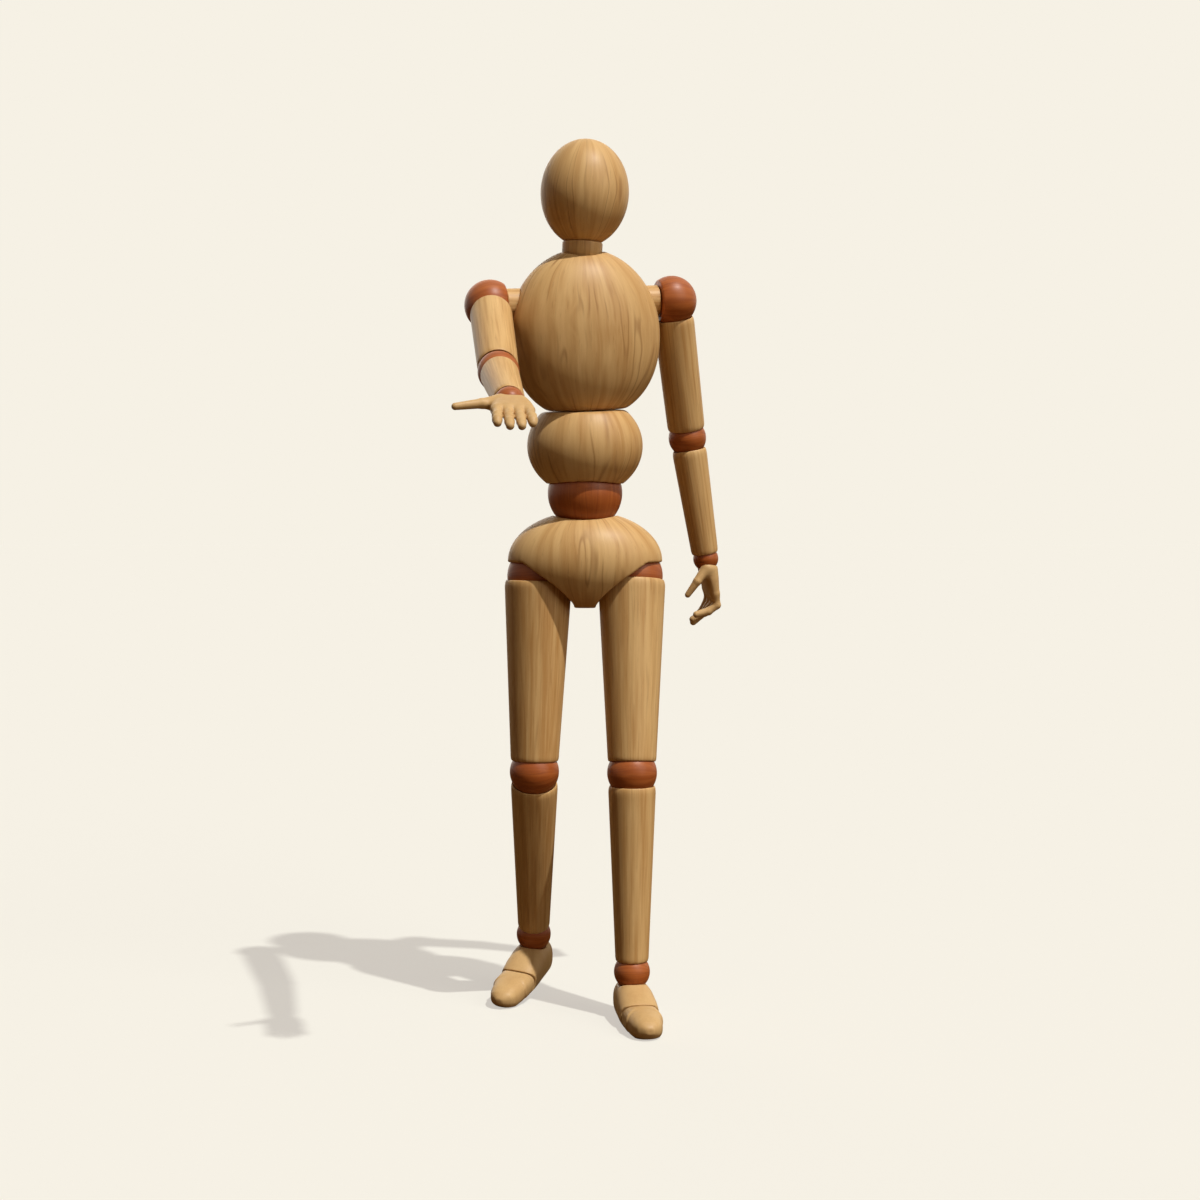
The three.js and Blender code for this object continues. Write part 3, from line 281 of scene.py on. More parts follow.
t.links.new(centred.outputs[0], pushed.inputs[0])
t.links.new(enter.outputs["Sway"], pushed.inputs["Scale"])
swayed = node(t, "ShaderNodeVectorMath", operation="ADD")
t.links.new(enter.outputs["Place"], swayed.inputs[0])
t.links.new(pushed.outputs[0], swayed.inputs[1])
sized = node(t, "ShaderNodeVectorMath", operation="SCALE")
t.links.new(scaled(t, swayed.outputs[0], 1, 1, 0.05), sized.inputs[0])
t.links.new(sum_of(t, "DIVIDE", 1.0, enter.outputs["Width"]), sized.inputs["Scale"])
band = noise_of(t, sized.outputs[0], 0.5, 2.0, 0.6)
t.links.new(range_of(t, band, 0.34, 0.66), leave.inputs["Band"])
thin = noise_of(t, scaled(t, sized.outputs[0], 1, 1, 0.6), 0.62, 0.0, 0.5)
near_line = sum_of(t, "ABSOLUTE", sum_of(t, "SUBTRACT", thin, 0.47))
fade = range_of(t, noise_of(t, scaled(t, swayed.outputs[0], 1, 1, 0.35), 0.17, 1.0), 0.42, 0.66)
t.links.new(sum_of(t, "MULTIPLY", range_of(t, near_line, 0.075, 0.0), fade), leave.inputs["Line"])
near_pale = sum_of(t, "ABSOLUTE", sum_of(t, "SUBTRACT", thin, 0.58))
t.links.new(range_of(t, near_pale, 0.06, 0.0), leave.inputs["Pale"])
t.links.new(noise_of(t, scaled(t, enter.outputs["Place"], 1, 1, 0.35), 0.06, 2.0), leave.inputs["Board"])

# Fibres of the wood: fine streaks along the piece, and the short dark pores between them.
fibres = bpy.data.node_groups.new("fibres", "ShaderNodeTree")
socket(fibres, "Place", "NodeSocketVector", True)
socket(fibres, "Streak", "NodeSocketFloat", False)
socket(fibres, "Pore", "NodeSocketFloat", False)
socket(fibres, "Grit", "NodeSocketFloat", False)
t = fibres
enter = node(t, "NodeGroupInput")
leave = node(t, "NodeGroupOutput")
streak = noise_of(t, scaled(t, enter.outputs["Place"], 1, 1, 0.035), 1.5, 4.0, 0.62, 0.25)
t.links.new(streak, leave.inputs["Streak"])
fine = noise_of(t, scaled(t, enter.outputs["Place"], 1, 1, 0.06), 4.2, 2.0, 0.5)
t.links.new(range_of(t, fine, 0.6, 0.74), leave.inputs["Pore"])
t.links.new(noise_of(t, scaled(t, enter.outputs["Place"], 1, 1, 0.4), 7.0, 3.0, 0.6), leave.inputs["Grit"])

# Wear and painted shade: sharp edges rub paler, and hollow corners are painted darker, as shade would fall there.
wear_and_hollow_shade = bpy.data.node_groups.new("wear_and_hollow_shade", "ShaderNodeTree")
socket(wear_and_hollow_shade, "Place", "NodeSocketVector", True)
socket(wear_and_hollow_shade, "Rubbed", "NodeSocketFloat", False)
socket(wear_and_hollow_shade, "HollowShade", "NodeSocketFloat", False)
t = wear_and_hollow_shade
enter = node(t, "NodeGroupInput")
leave = node(t, "NodeGroupOutput")
bend = node(t, "ShaderNodeNewGeometry").outputs["Pointiness"]
patch = noise_of(t, enter.outputs["Place"], 0.35, 3.0)
rub = sum_of(t, "MULTIPLY", range_of(t, bend, 0.525, 0.6), range_of(t, patch, 0.3, 0.65, 0.25, 1.0))
t.links.new(rub, leave.inputs["Rubbed"])
# Painted shade: where the surface bends inwards, this mask darkens the colour as shade in the hollow would.
t.links.new(range_of(t, bend, 0.485, 0.42), leave.inputs["HollowShade"])


def wood_material(name, pale, deep, line, pore_and_shade_colour, gloss, width, sway, band_share, line_share, coat):
    """Lacquered wood. The colour runs from pale to deep with the board and the bands, darkens along thin lines and
    pores, rubs paler at edges, and is painted darker in hollow corners as shade. The bump follows fibres and
    pores."""
    made = bpy.data.materials.new(name)
    made.use_nodes = True
    tree = made.node_tree
    shader = tree.nodes["Principled BSDF"]
    grain = node(tree, "ShaderNodeAttribute", attribute_name="grain", attribute_type="GEOMETRY")
    groups = {}
    for group in (streaks, fibres, wear_and_hollow_shade):
        part = node(tree, "ShaderNodeGroup", node_tree=group)
        tree.links.new(grain.outputs["Vector"], part.inputs["Place"])
        groups[group.name] = part
    run, fibre, wear_and_shade = groups["streaks"], groups["fibres"], groups["wear_and_hollow_shade"]
    run.inputs["Width"].default_value = width
    run.inputs["Sway"].default_value = sway

    def mixed(share, a, b):
        mix = node(tree, "ShaderNodeMix", data_type="RGBA")
        for i, source in ((6, a), (7, b)):
            if isinstance(source, tuple):
                mix.inputs[i].default_value = source
            else:
                tree.links.new(source, mix.inputs[i])
        tree.links.new(share, mix.inputs[0])
        return mix.outputs[2]

    tone = sum_of(tree, "MULTIPLY", run.outputs["Band"], band_share)
    tone = sum_of(tree, "ADD", tone, range_of(tree, run.outputs["Board"], 0.35, 0.65, 0.0, 0.25))
    tone = sum_of(tree, "ADD", tone, range_of(tree, fibre.outputs["Streak"], 0.3, 0.7, 0.0, 0.22))
    base = mixed(tone, pale, deep)
    base = mixed(sum_of(tree, "MULTIPLY", run.outputs["Pale"], 0.4 * band_share), base, pale)
    base = mixed(sum_of(tree, "MULTIPLY", run.outputs["Line"], line_share), base, line)
    base = mixed(sum_of(tree, "MULTIPLY", fibre.outputs["Pore"], 0.16), base, pore_and_shade_colour)
    base = mixed(sum_of(tree, "MULTIPLY", wear_and_shade.outputs["Rubbed"], 0.3), base, pale)
    # Painted shade: hollow corners are mixed towards the dark colour of the pores, as shade would darken them.
    base = mixed(sum_of(tree, "MULTIPLY", wear_and_shade.outputs["HollowShade"], 0.35), base, pore_and_shade_colour)
    tree.links.new(base, shader.inputs["Base Color"])
    rough = sum_of(tree, "ADD", sum_of(tree, "MULTIPLY", fibre.outputs["Grit"], 0.12), gloss - 0.06)
    rough = sum_of(tree, "ADD", rough, sum_of(tree, "MULTIPLY", fibre.outputs["Pore"], 0.1))
    tree.links.new(rough, shader.inputs["Roughness"])
    low_streak = sum_of(tree, "MULTIPLY", fibre.outputs["Streak"], 0.6)
    relief = sum_of(tree, "ADD", low_streak, fibre.outputs["Grit"])
    relief = sum_of(tree, "SUBTRACT", relief, sum_of(tree, "MULTIPLY", fibre.outputs["Pore"], 0.8))
    bump = node(tree, "ShaderNodeBump", Strength=0.14, Distance=0.0001)
    tree.links.new(relief, bump.inputs["Height"])
    tree.links.new(bump.outputs["Normal"], shader.inputs["Normal"])
    shader.inputs["Specular IOR Level"].default_value = 0.3
    shader.inputs["Coat Weight"].default_value = coat
    shader.inputs["Coat Roughness"].default_value = 0.36
    return made


turned_wood = wood_material(
    "pale_turned_wood",
    colour(218, 180, 122), colour(186, 139, 81), colour(146, 100, 53), colour(118, 76, 38),
    gloss=0.5, width=1.1, sway=2.4, band_share=0.5, line_share=0.55, coat=0.08,
)


GRAIN_RING, GRAIN_HUB = 10, 1.5


def make_piece(name, shape, place, body, nodes, material, plank, round_grain=True):
    """Turns points in millimetres and faces into a piece in its place. Each point keeps its place in
    the grain: x and y set out to a ring about the axis for turned pieces, so that the streaks run
    from pole to pole, or as they are for carved ones, plus the offset `plank`."""
    points, faces = shape
    points = np.asarray(points, float)
    grain = points.copy()
    if round_grain:
        out = np.hypot(points[:, 0], points[:, 1])
        grain[:, :2] *= GRAIN_RING / np.maximum(out, GRAIN_HUB)[:, None]
    mesh = bpy.data.meshes.new(name)
    world = points @ place[:3, :3].T + place[:3, 3]
    mesh.from_pydata(world.tolist(), [], faces)
    mesh.attributes.new("grain", "FLOAT_VECTOR", "POINT").data.foreach_set(
        "vector", (grain + np.array(plank)).astype(np.float32).ravel()
    )
    mesh.polygons.foreach_set("use_smooth", np.ones(len(mesh.polygons), bool))
    mesh.materials.append(material)
    mesh.update()
    piece = bpy.data.objects.new(name, mesh)
    bpy.context.scene.collection.objects.link(piece)
    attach(piece, body)
    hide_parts(*nodes)
    return piece


def pelvis_field(p):
    """Egg, less the waist ball's cup, less for each hip a seat for its ball, a wider bowl below
    the pocket's brim, and the bars that the thigh's end sweeps as it swings and spreads, and
    faced off flat at the very bottom."""
    rest = egg_field(p, PELVIS_HALF)
    rest = carve(rest, ball_field(p, (0, 0, WAIST_UP), WAIST_BALL + PLAY), 0.7)
    for side in (-1, 1):
        hip = np.array([side * HIP_OUT, 0, -HIP_DOWN])
        bowl = np.maximum(ball_field(p, hip, HIP_BOWL), p[2] + HIP_BRIM)
        tool = np.minimum(ball_field(p, hip, HIP_BALL + PLAY), bowl)
        for swing in THIGH_SWINGS:
            for spread in THIGH_SPREADS:
                a, b = math.radians(swing), math.radians(spread) * side
                down = np.array([math.sin(b), -math.cos(b) * math.sin(a), -math.cos(b) * math.cos(a)])
                tool = np.minimum(tool, bar_field(p, hip + 1.2 * down, hip + 40 * down, THIGH_TOP + PLAY))
        rest = carve(rest, tool, 0.7)
    return carve(rest, p[2] + PELVIS_FACE, 0.8)


hips = (hinge_at("left_hip_swing") + hinge_at("right_hip_swing")) / 2
pelvis_place = moved(place_on(hips, (1, 0, 0), (0, 0, 1)), z=HIP_DOWN)
pelvis_shape = skin(pelvis_field, (-27.5, -18, -18), (27.5, 18, 18), 0.45)
make_piece(
    "pelvis_wood", pelvis_shape, pelvis_place, "pelvis", ["pelvis"], turned_wood, (6, -3, 40)
)


# The balls: stained hardwood, sanded smooth and waxed. Each one is gripped by the cups on both
# sides of its joint, and the wire parts inside hold it to them. The stain has soaked unevenly
# into the rings, so that a ball shows darker bands.
KNEE_BALL, ANKLE_BALL = 8.4, 6.09
SHOULDER_BALL, ELBOW_BALL, WRIST_BALL = 8.55, 6.56, 4.45

stained_wood = wood_material(
    "red_brown_stained_wood",
    colour(176, 98, 44), colour(150, 74, 26), colour(112, 50, 16), colour(82, 36, 10),
    gloss=0.44, width=1.1, sway=2.5, band_share=0.6, line_share=0.4, coat=0.12,
)


def turned(profile, count=96):
    """Turned surface: every point (radius, height) of the profile sweeps a circle about Z, so that
    x = radius cos a and y = radius sin a. A profile that starts and ends on the axis gets a single
    point there, and any other closes on itself. The profile runs up the outside."""
    profile = np.asarray(profile, float)
    pole_low, pole_high = profile[0, 0] < 1e-7, profile[-1, 0] < 1e-7
    inner = profile[int(pole_low):len(profile) - int(pole_high)]
    turn = np.linspace(0, 2 * np.pi, count, endpoint=False)
    x = inner[:, :1] * np.cos(turn)
    y = inner[:, :1] * np.sin(turn)
    z = np.repeat(inner[:, 1:], count, axis=1)
    points = np.stack([x, y, z], axis=-1).reshape(-1, 3)
    rows = len(inner)
    i = np.arange(rows - 1 if pole_low or pole_high else rows)[:, None]
    j = np.arange(count)[None, :]
    up, on = (i + 1) % rows, (j + 1) % count
    quads = np.stack([i * count + j, i * count + on, up * count + on, up * count + j], axis=-1)
    faces = quads.reshape(-1, 4).tolist()
    ring = np.arange(count)
    after = (ring + 1) % count
    poles = ((pole_low, 0, profile[0, 1], True), (pole_high, rows - 1, profile[-1, 1], False))
    for there, row, z_at, flip in poles:
        if there:
            pole = np.full(count, len(points))
            points = np.vstack([points, [0, 0, z_at]])
            a, b = row * count + ring, row * count + after
            faces += (np.stack([pole, b, a] if flip else [pole, a, b], axis=1)).tolist()
    return points, faces


def arc(height, radius, start, end, count):
    """Points (radius, height) of a circle about the axis's point `height`, from one angle to another
    above the level, in degrees."""
    t = np.radians(np.linspace(start, end, count))
    return np.stack([radius * np.cos(t), height + radius * np.sin(t)], axis=1)


def ball_shape(radius, flat=None):
    """Turned ball. With `flat` it is faced off level that far above its centre, with a soft rim."""
    if flat is None:
        profile = arc(0, radius, -90, 90, 49)
        profile[-1, 0] = 0
    else:
        face = radius * math.cos(math.asin(flat / radius))
        profile = arc(0, radius, -90, math.degrees(math.asin((flat - 0.3) / radius)), 42)
        profile = np.vstack([profile, [(face - 0.1, flat - 0.05), (face - 0.4, flat), (0, flat)]])
    profile[0, 0] = 0
    return turned(profile)


waist_up = np.cross(way("waist_bend"), way("waist_side"))
waist_place = place_on(hinge_at("waist_bend"), way("waist_bend"), waist_up)
SHOULDER_FLAT = 4.9
ball_plank = {
    "waist_ball": (31, -8, 11),
    "hip_ball": (-17, 22, 70), "knee_ball": (24, 13, -35), "ankle_ball": (-9, -21, 55),
    "shoulder_ball": (12, 30, 90), "elbow_ball": (-28, 6, 25), "wrist_ball": (19, -16, -70),
}
make_piece(
    "waist_ball_wood", ball_shape(WAIST_BALL), waist_place,
    "waist_ball", ["waist_ball"], stained_wood, ball_plank["waist_ball"],
)
limb_turns = {
    "hip_ball": (HIP_BALL, "hip_swing", "hip_spread"),
    "knee_ball": (KNEE_BALL, "knee_upper", "hip_spread"),
    "ankle_ball": (ANKLE_BALL, "ankle_tilt", "ankle_turn"),
    "shoulder_ball": (SHOULDER_BALL, "shoulder_swing", "shoulder_spread"),
    "elbow_ball": (ELBOW_BALL, "elbow_upper", "shoulder_spread"),
    "wrist_ball": (WRIST_BALL, "wrist_bend", "wrist_turn"),
}
for side, sign in SIDES:
    for kind, (radius, joint, across) in limb_turns.items():
        axle = way(f"{side}_{joint}", sign)
        place = place_on(hinge_at(f"{side}_{joint}"), way(f"{side}_{across}"), axle)
        shape = ball_shape(radius, SHOULDER_FLAT if kind == "shoulder_ball" else None)
        plank = np.array(ball_plank[kind]) + (0 if side == "left" else 47)
        name = f"{side}_{kind}"
        make_piece(f"{name}_wood", shape, place, name, [name], stained_wood, plank)


# The abdomen: a squat turned egg, hollowed below over the waist ball and faced off above, where
# the chest's flat end turns on it. A spring passes up its bore.
ABDOMEN_HALF = (19.6, 16.6, 17.0)
ABDOMEN_UP = 16.0
ABDOMEN_FACE = 11.8
ABDOMEN_BORE = 4.6
CHEST_LEAN = math.radians(-1.7)


def abdomen_field(p):
    """Egg, less the waist ball's cup, less all above the slightly slanting face, less the bore."""
    rest = egg_field(p, ABDOMEN_HALF)
    rest = carve(rest, ball_field(p, (0, 0, -ABDOMEN_UP), WAIST_BALL + PLAY), 0.7)
    above = ABDOMEN_FACE - (p[2] * math.cos(CHEST_LEAN) + p[0] * math.sin(CHEST_LEAN))
    rest = carve(rest, above, 0.8)
    return carve(rest, bar_field(p, (0, 0, -20), (0, 0, 20), ABDOMEN_BORE), 0.4)


abdomen_place = moved(waist_place, z=ABDOMEN_UP)
abdomen_shape = skin(abdomen_field, (-21, -18, -18), (21, 18, 18), 0.45)
make_piece(
    "abdomen_wood", abdomen_shape, abdomen_place,
    "abdomen", ["abdomen"], turned_wood, (-12, 9, -60),
)


# The chest: the tallest egg of the torso, cut flat below, with a cup for the neck's round foot
# above, a hollow beside each shoulder ball, and a hole in each side for a short dowel.
CHEST_HALF = (25.9, 16.6, 28.4)
CHEST_FACE = 25.7
CHEST_SHIFT = 0.75
FULL_BELOW, FULL_ABOVE = 2.25, 2.0
SHOULDER = (31.6, 2.5, 10.35)
STUB, STUB_LONG, STUB_PLAY = 5.45, 7.8, 0.12
STUB_HOLE_FROM = 15.05
NECK_UP, NECK = 27.7, 6.75


def chest_field(p):
    """Egg, fuller below its middle, less all below the flat face, less the neck's cup, the two
    hollows at the shoulders and the holes of the two dowels."""
    full = np.where(p[2] < 0, FULL_BELOW, FULL_ABOVE)
    rest = egg_field(p, CHEST_HALF, full)
    rest = carve(rest, p[2] + CHEST_FACE - PLAY, 0.8)
    rest = carve(rest, ball_field(p, (0, 0, NECK_UP), NECK + PLAY), 0.5)
    for side in (-1, 1):
        x, y, z = side * SHOULDER[0], SHOULDER[1], SHOULDER[2]
        rest = carve(rest, ball_field(p, (x, y, z), SHOULDER_BALL + 2 * PLAY), 0.5)
        hole = bar_field(p, (side * STUB_HOLE_FROM, y, z), (side * 60, y, z), STUB + STUB_PLAY)
        rest = carve(rest, hole, 0.3)
    return rest


chest_axis = way("left_shoulder_swing", -1)
chest_foot = place_on(hinge_at("chest_turn"), chest_axis, way("chest_turn"))
chest_place = moved(chest_foot, x=CHEST_SHIFT, z=CHEST_FACE)
chest_shape = skin(chest_field, (-27.5, -18, -27), (27.5, 18, 30), 0.5)
make_piece(
    "chest_wood", chest_shape, chest_place, "chest", ["chest"], turned_wood, (3, 15, 120)
)


def dowel_shape(radius, long, start):
    """Dowel along -Z from the shoulder's centre, flat at both ends, with softly broken rims."""
    inner = [(0, -long), (radius - 0.3, -long), (radius, -long + 0.3)]
    side = np.stack([np.full(8, radius), np.linspace(-long + 0.5, -start - 0.4, 8)], axis=1)
    outer = [(radius, -start - 0.2), (radius - 0.2, -start), (0, -start)]
    return turned(np.vstack([inner, side, outer]), 64)


for side, sign in SIDES:
    place = place_on(hinge_at(f"{side}_shoulder_swing"), way("chest_turn"), sign * chest_axis)
    node_name = f"{side}_clavicle"
    shape = dowel_shape(STUB, SHOULDER_BALL + STUB_LONG, SHOULDER_FLAT + PLAY)
    plank = (8 * sign, 4, 12)
    make_piece(f"{node_name}_wood", shape, place, "chest", [node_name], turned_wood, plank)


# The neck and head: a short cylinder with a round foot that rolls in the chest's cup, and a
# plain turned egg that swivels on its hollowed top. The head has no face.
HEAD_WIDE, HEAD_TALL = 14.75, 17.7
HEAD_UP = 19.0

neck_place = place_on(hinge_at("neck_tilt"), way("neck_tilt"), way("head_turn"))
rim_up = HEAD_UP - HEAD_TALL * math.sqrt(1 - ((NECK - 0.5) / HEAD_WIDE) ** 2)
inner = np.linspace(NECK - 0.75, 0, 12)
hollow = HEAD_UP - (HEAD_TALL + PLAY) * np.sqrt(1 - (inner / (HEAD_WIDE + PLAY)) ** 2)
hollow_top = np.stack([inner, hollow], axis=1)
neck_profile = np.vstack([
    arc(0, NECK, -90, 0, 20),
    np.stack([np.full(6, NECK), np.linspace(0.4, rim_up - 0.7, 6)], axis=1),
    [(NECK - 0.12, rim_up - 0.35), (NECK - 0.4, rim_up - 0.12)],
    hollow_top,
])
neck_profile[0, 0] = 0
make_piece(
    "neck_wood", turned(neck_profile), neck_place, "neck", ["neck"], turned_wood, (-20, 7, 33)
)

around = np.radians(np.linspace(-90, 90, 81))
head_profile = np.stack([HEAD_WIDE * np.cos(around), HEAD_TALL * np.sin(around)], axis=1)
head_profile[[0, -1], 0] = 0
head_place = moved(neck_place, z=HEAD_UP)
make_piece(
    "head_wood", turned(head_profile, 128), head_place,
    "head", ["head"], turned_wood, (16, -2, -24),
)


# The limbs: slender turned rods that taper downwards, bored through for a spring. Each end is
# hollowed into a cup over its ball, and the thin rim round the cup is eased with abrasive.
straight_wood = wood_material(
    "pale_straight_wood",
    colour(218, 180, 122), colour(186, 139, 81), colour(150, 103, 55), colour(118, 76, 38),
    gloss=0.52, width=1.0, sway=0.5, band_share=0.6, line_share=0.3, coat=0.06,
)
LIP, HIP_LIP = 0.5, 0.62
RIM_TALL = 2.2
limb_sizes = {
    "thigh": (66.9, THIGH_TOP, 8.3, HIP_BALL, KNEE_BALL, 3.1, HIP_LIP),
    "shin": (67.4, 8.0, 5.7, KNEE_BALL, ANKLE_BALL, 3.1, LIP),
    "upper_arm": (48.3, 6.95, 6.5, SHOULDER_BALL, ELBOW_BALL, 2.4, LIP),
    "forearm": (43.4, 6.0, 4.8, ELBOW_BALL, WRIST_BALL, 2.4, LIP),
}


def limb_shape(long, top, bottom, top_ball, bottom_ball, bore, top_lip):
    """Turned rod along -Z from the upper ball's centre. Its profile runs down the upper cup's wall
    inside, down the bore, round the lower cup, and back up the tapering outside, whose rims turn
    in by the lip over a short curve."""
    top_cup, bottom_cup = top_ball + PLAY, bottom_ball + PLAY
    top_edge = math.degrees(math.acos((top - top_lip) / top_cup))
    low_edge = math.degrees(math.acos((bottom - LIP) / bottom_cup))
    top_z = -top_cup * math.sin(math.radians(top_edge))
    low_z = -long + bottom_cup * math.sin(math.radians(low_edge))
    ease = np.radians(np.linspace(0, 90, 7))[1:-1]
    turn_in, rise = 1 - np.sin(ease), RIM_TALL * (1 - np.cos(ease))
    top_rim = np.stack([top - top_lip * turn_in, top_z - rise], axis=1)
    low_rim = np.stack([bottom - LIP * turn_in, low_z + rise], axis=1)
    low_end, top_end = low_z + RIM_TALL + 0.1, top_z - RIM_TALL - 0.1
    z = np.linspace(low_end, top_end, 60)
    outside = np.stack([np.interp(z, [low_end, top_end], [bottom, top]), z], axis=1)
    profile = np.vstack([
        low_rim, outside, top_rim[::-1],
        arc(0, top_cup, -top_edge, -math.degrees(math.acos(bore / top_cup)), 24),
        arc(-long, bottom_cup, math.degrees(math.acos(bore / bottom_cup)), low_edge, 24),
    ])
    return turned(profile)


limb_hinges = {
    "thigh": ("hip_swing", "knee_upper", "knee_upper", 1),
    "shin": ("knee_lower", "ankle_tilt", "knee_lower", 1),
    "upper_arm": ("shoulder_swing", "elbow_upper", "elbow_upper", -1),
    "forearm": ("elbow_lower", "wrist_bend", "elbow_lower", -1),
}
limb_plank = {
    "thigh": (9, -14, 0), "shin": (-6, 18, 160), "upper_arm": (21, 3, -90), "forearm": (-15, -11, 210),
}
plank_shift = {"left": np.zeros(3), "right": np.array([13, 26, 31])}
for side, _ in SIDES:
    for kind, (upper, lower, level, sign) in limb_hinges.items():
        start, end = hinge_at(f"{side}_{upper}"), hinge_at(f"{side}_{lower}")
        place = place_on(start, way(f"{side}_{level}", sign), start - end)
        plank = np.array(limb_plank[kind]) + plank_shift[side]
        name = f"{side}_{kind}"
        shape = limb_shape(*limb_sizes[kind])
        make_piece(f"{name}_wood", shape, place, name, [name], straight_wood, plank)


# The feet: each is carved in two pieces, a body with a cup for the ankle ball and a toe with a
# round knuckle that rolls in the body's front. Both are flat below and rounded above.
ANKLE_UP = 15.7
KNUCKLE = 4.1
KNUCKLE_AT = (0, -18.0, 4.3 - ANKLE_UP)
TOE_WIDE, TOE_TALL, TOE_MIDDLE = 6.2, 4.7, 3.7
SQUARISH = 2.5
foot_rings = np.array([
    [-8.6, 1.6, 4.0, 7.6], [-8.2, 2.6, 3.4, 8.6], [-7.2, 4.4, 1.4, 11.0], [-4.5, 5.7, -1, 12.6],
    [0, 6.2, -1, 13.2],
    [5, 6.5, -1, 12.8], [10, 6.7, -1, 11.0], [13, 6.6, -1, 9.7], [15.8, 6.3, -1, 8.3],
])
toe_rings = np.array([
    [17.2, 6.2, -1, 8.4], [18, 6.1, -1, 8.3], [22.5, 5.8, -1, 7.8], [26.5, 5.1, -1, 7.1],
    [29.3, 3.9, 0.5, 6.2],
    [30.6, 2.4, 1.6, 5.2], [31.3, 1.2, 2.4, 4.4],
])

carved_wood = wood_material(
    "pale_carved_wood",
    colour(208, 172, 118), colour(188, 146, 92), colour(154, 108, 60), colour(120, 78, 40),
    gloss=0.52, width=3.0, sway=4.0, band_share=0.25, line_share=0.08, coat=0.08,
)


def rings_field(p, rings, rim):
    """Body through squarish rings across Y: at each distance forward, half width, bottom and top
    run smoothly through the rings, and a point's value is the power mean of how far out it lies
    across and up and down, less one, times the smaller half size. Its ends are rounded over `rim`."""
    fine = np.linspace(rings[0, 0], rings[-1, 0], 200)
    kernel = np.exp(-(np.linspace(-2, 2, 25) ** 2))
    kernel /= kernel.sum()
    smooth = []
    for column in range(1, 4):
        row = np.interp(fine, rings[:, 0], rings[:, column])
        padded = np.pad(row, 12, mode="reflect", reflect_type="odd")
        smooth.append(np.convolve(padded, kernel, "valid"))
    forward = -p[1]
    half, low, high = (np.interp(forward, fine, row) for row in smooth)
    middle, tall = (low + high) / 2 - ANKLE_UP, (high - low) / 2
    out = np.abs(p[0] / half) ** SQUARISH + np.abs((p[2] - middle) / tall) ** SQUARISH
    out = out ** (1 / SQUARISH)
    ends = np.maximum(fine[0] - forward, forward - fine[-1])
    return carve((out - 1) * np.minimum(half, tall), -ends, rim)


def foot_field(p):
    """Ringed body, less all below the sole, less the ankle ball's cup and the knuckle's groove."""
    rest = rings_field(p, foot_rings, 0.5)
    rest = carve(rest, p[2] + ANKLE_UP, 0.6)
    rest = carve(rest, ball_field(p, (0, 0, 0), ANKLE_BALL + PLAY), 0.5)
    groove = bar_field(p, (-20, *KNUCKLE_AT[1:]), (20, *KNUCKLE_AT[1:]), KNUCKLE + PLAY)
    return carve(rest, groove, 0.2)


def toe_field(p):
    """Ringed toe joined to a round knuckle across it, less all below the sole. The knuckle's ends
    are trimmed to the toe's own squarish outline, so that it lies flush with foot and toe."""
    rest = carve(rings_field(p, toe_rings, 0.3), p[2] + ANKLE_UP, 0.6)
    height = p[2] + ANKLE_UP - TOE_MIDDLE
    outline = np.abs(p[0] / TOE_WIDE) ** SQUARISH + np.abs(height / TOE_TALL) ** SQUARISH
    knuckle = bar_field(p, (-8, *KNUCKLE_AT[1:]), (8, *KNUCKLE_AT[1:]), KNUCKLE)
    knuckle = carve(knuckle, (1 - outline ** (1 / SQUARISH)) * TOE_TALL, 0.4)
    return blend_in(rest, knuckle, 0.3)


foot_shape = skin(foot_field, (-8, -24, -17), (8, 10, 0), 0.4)
toe_shape = skin(toe_field, (-8, -33, -17), (8, -12, -5), 0.4)
for side, sign in SIDES:
    across = way(f"{side}_toe_bend", -1)
    place = place_on(hinge_at(f"{side}_ankle_turn"), across, way(f"{side}_ankle_turn", sign))
    parts = (("foot", foot_shape, (5 * sign, 60, 9)), ("toe", toe_shape, (5 * sign, 64, 7)))
    for kind, shape, plank in parts:
        name = f"{side}_{kind}"
        make_piece(f"{name}_wood", shape, place, name, [name], carved_wood, plank, False)


# The hands: each is carved in one piece from a small block, with a palm hollowed for the wrist
# ball, four fingers side by side and a thumb. The left one curls and the right one lies open.
palm_rings = np.array([
    [0.4, 4.3, -2.2, 2.0], [0.9, 4.9, -2.6, 2.4], [3.0, 5.5, -3.4, 2.9], [6.5, 6.1, -3.2, 2.5],
    [10.5, 6.3, -2.8, 2.0], [14.0, 5.9, -2.3, 1.5],
])
finger_row = np.array([-4.5, -1.5, 1.5, 4.4])
FINGER = 1.42
hand_poses = {
    "right": {
        "reach": (22.6, 24.6, 24.2, 21.8), "droop": (-2.0, -2.4, -2.4, -2.0),
        "curl": (0, 0, 0, 0), "bend": 18.0,
        "thumb": ((-3.6, -3.6, 0.4), (-8.5, -6.2, 0.3), (-16.2, -8.6, -0.4)),
    },
    "left": {
        "reach": (18.6, 21.2, 23.4, 23.0), "droop": (-0.2, -0.2, -0.2, -0.2),
        "curl": (8.0, 8.6, 7.6, 5.8), "bend": 16.2,
        "thumb": ((-3.6, -2.6, 1.4), (-5.2, -6.0, 5.6), (-5.0, -10.2, 9.6)),
    },
}


def strand_field(p, points, radii):
    """Distance from a chain of tapering round bars: for each stretch, how far a point is from the
    nearest place on it, less the radius there; the stretches are blended."""
    points = np.asarray(points, float)
    whole = None
    for a, b, ra, rb in zip(points[:-1], points[1:], radii[:-1], radii[1:]):
        ab = b - a
        share = np.clip(sum((p[k] - a[k]) * ab[k] for k in range(3)) / (ab @ ab), 0, 1)
        gap = np.sqrt(sum((p[k] - a[k] - share * ab[k]) ** 2 for k in range(3))) - (ra + (rb - ra) * share)
        whole = gap if whole is None else blend_in(whole, gap, 0.5)
    return whole


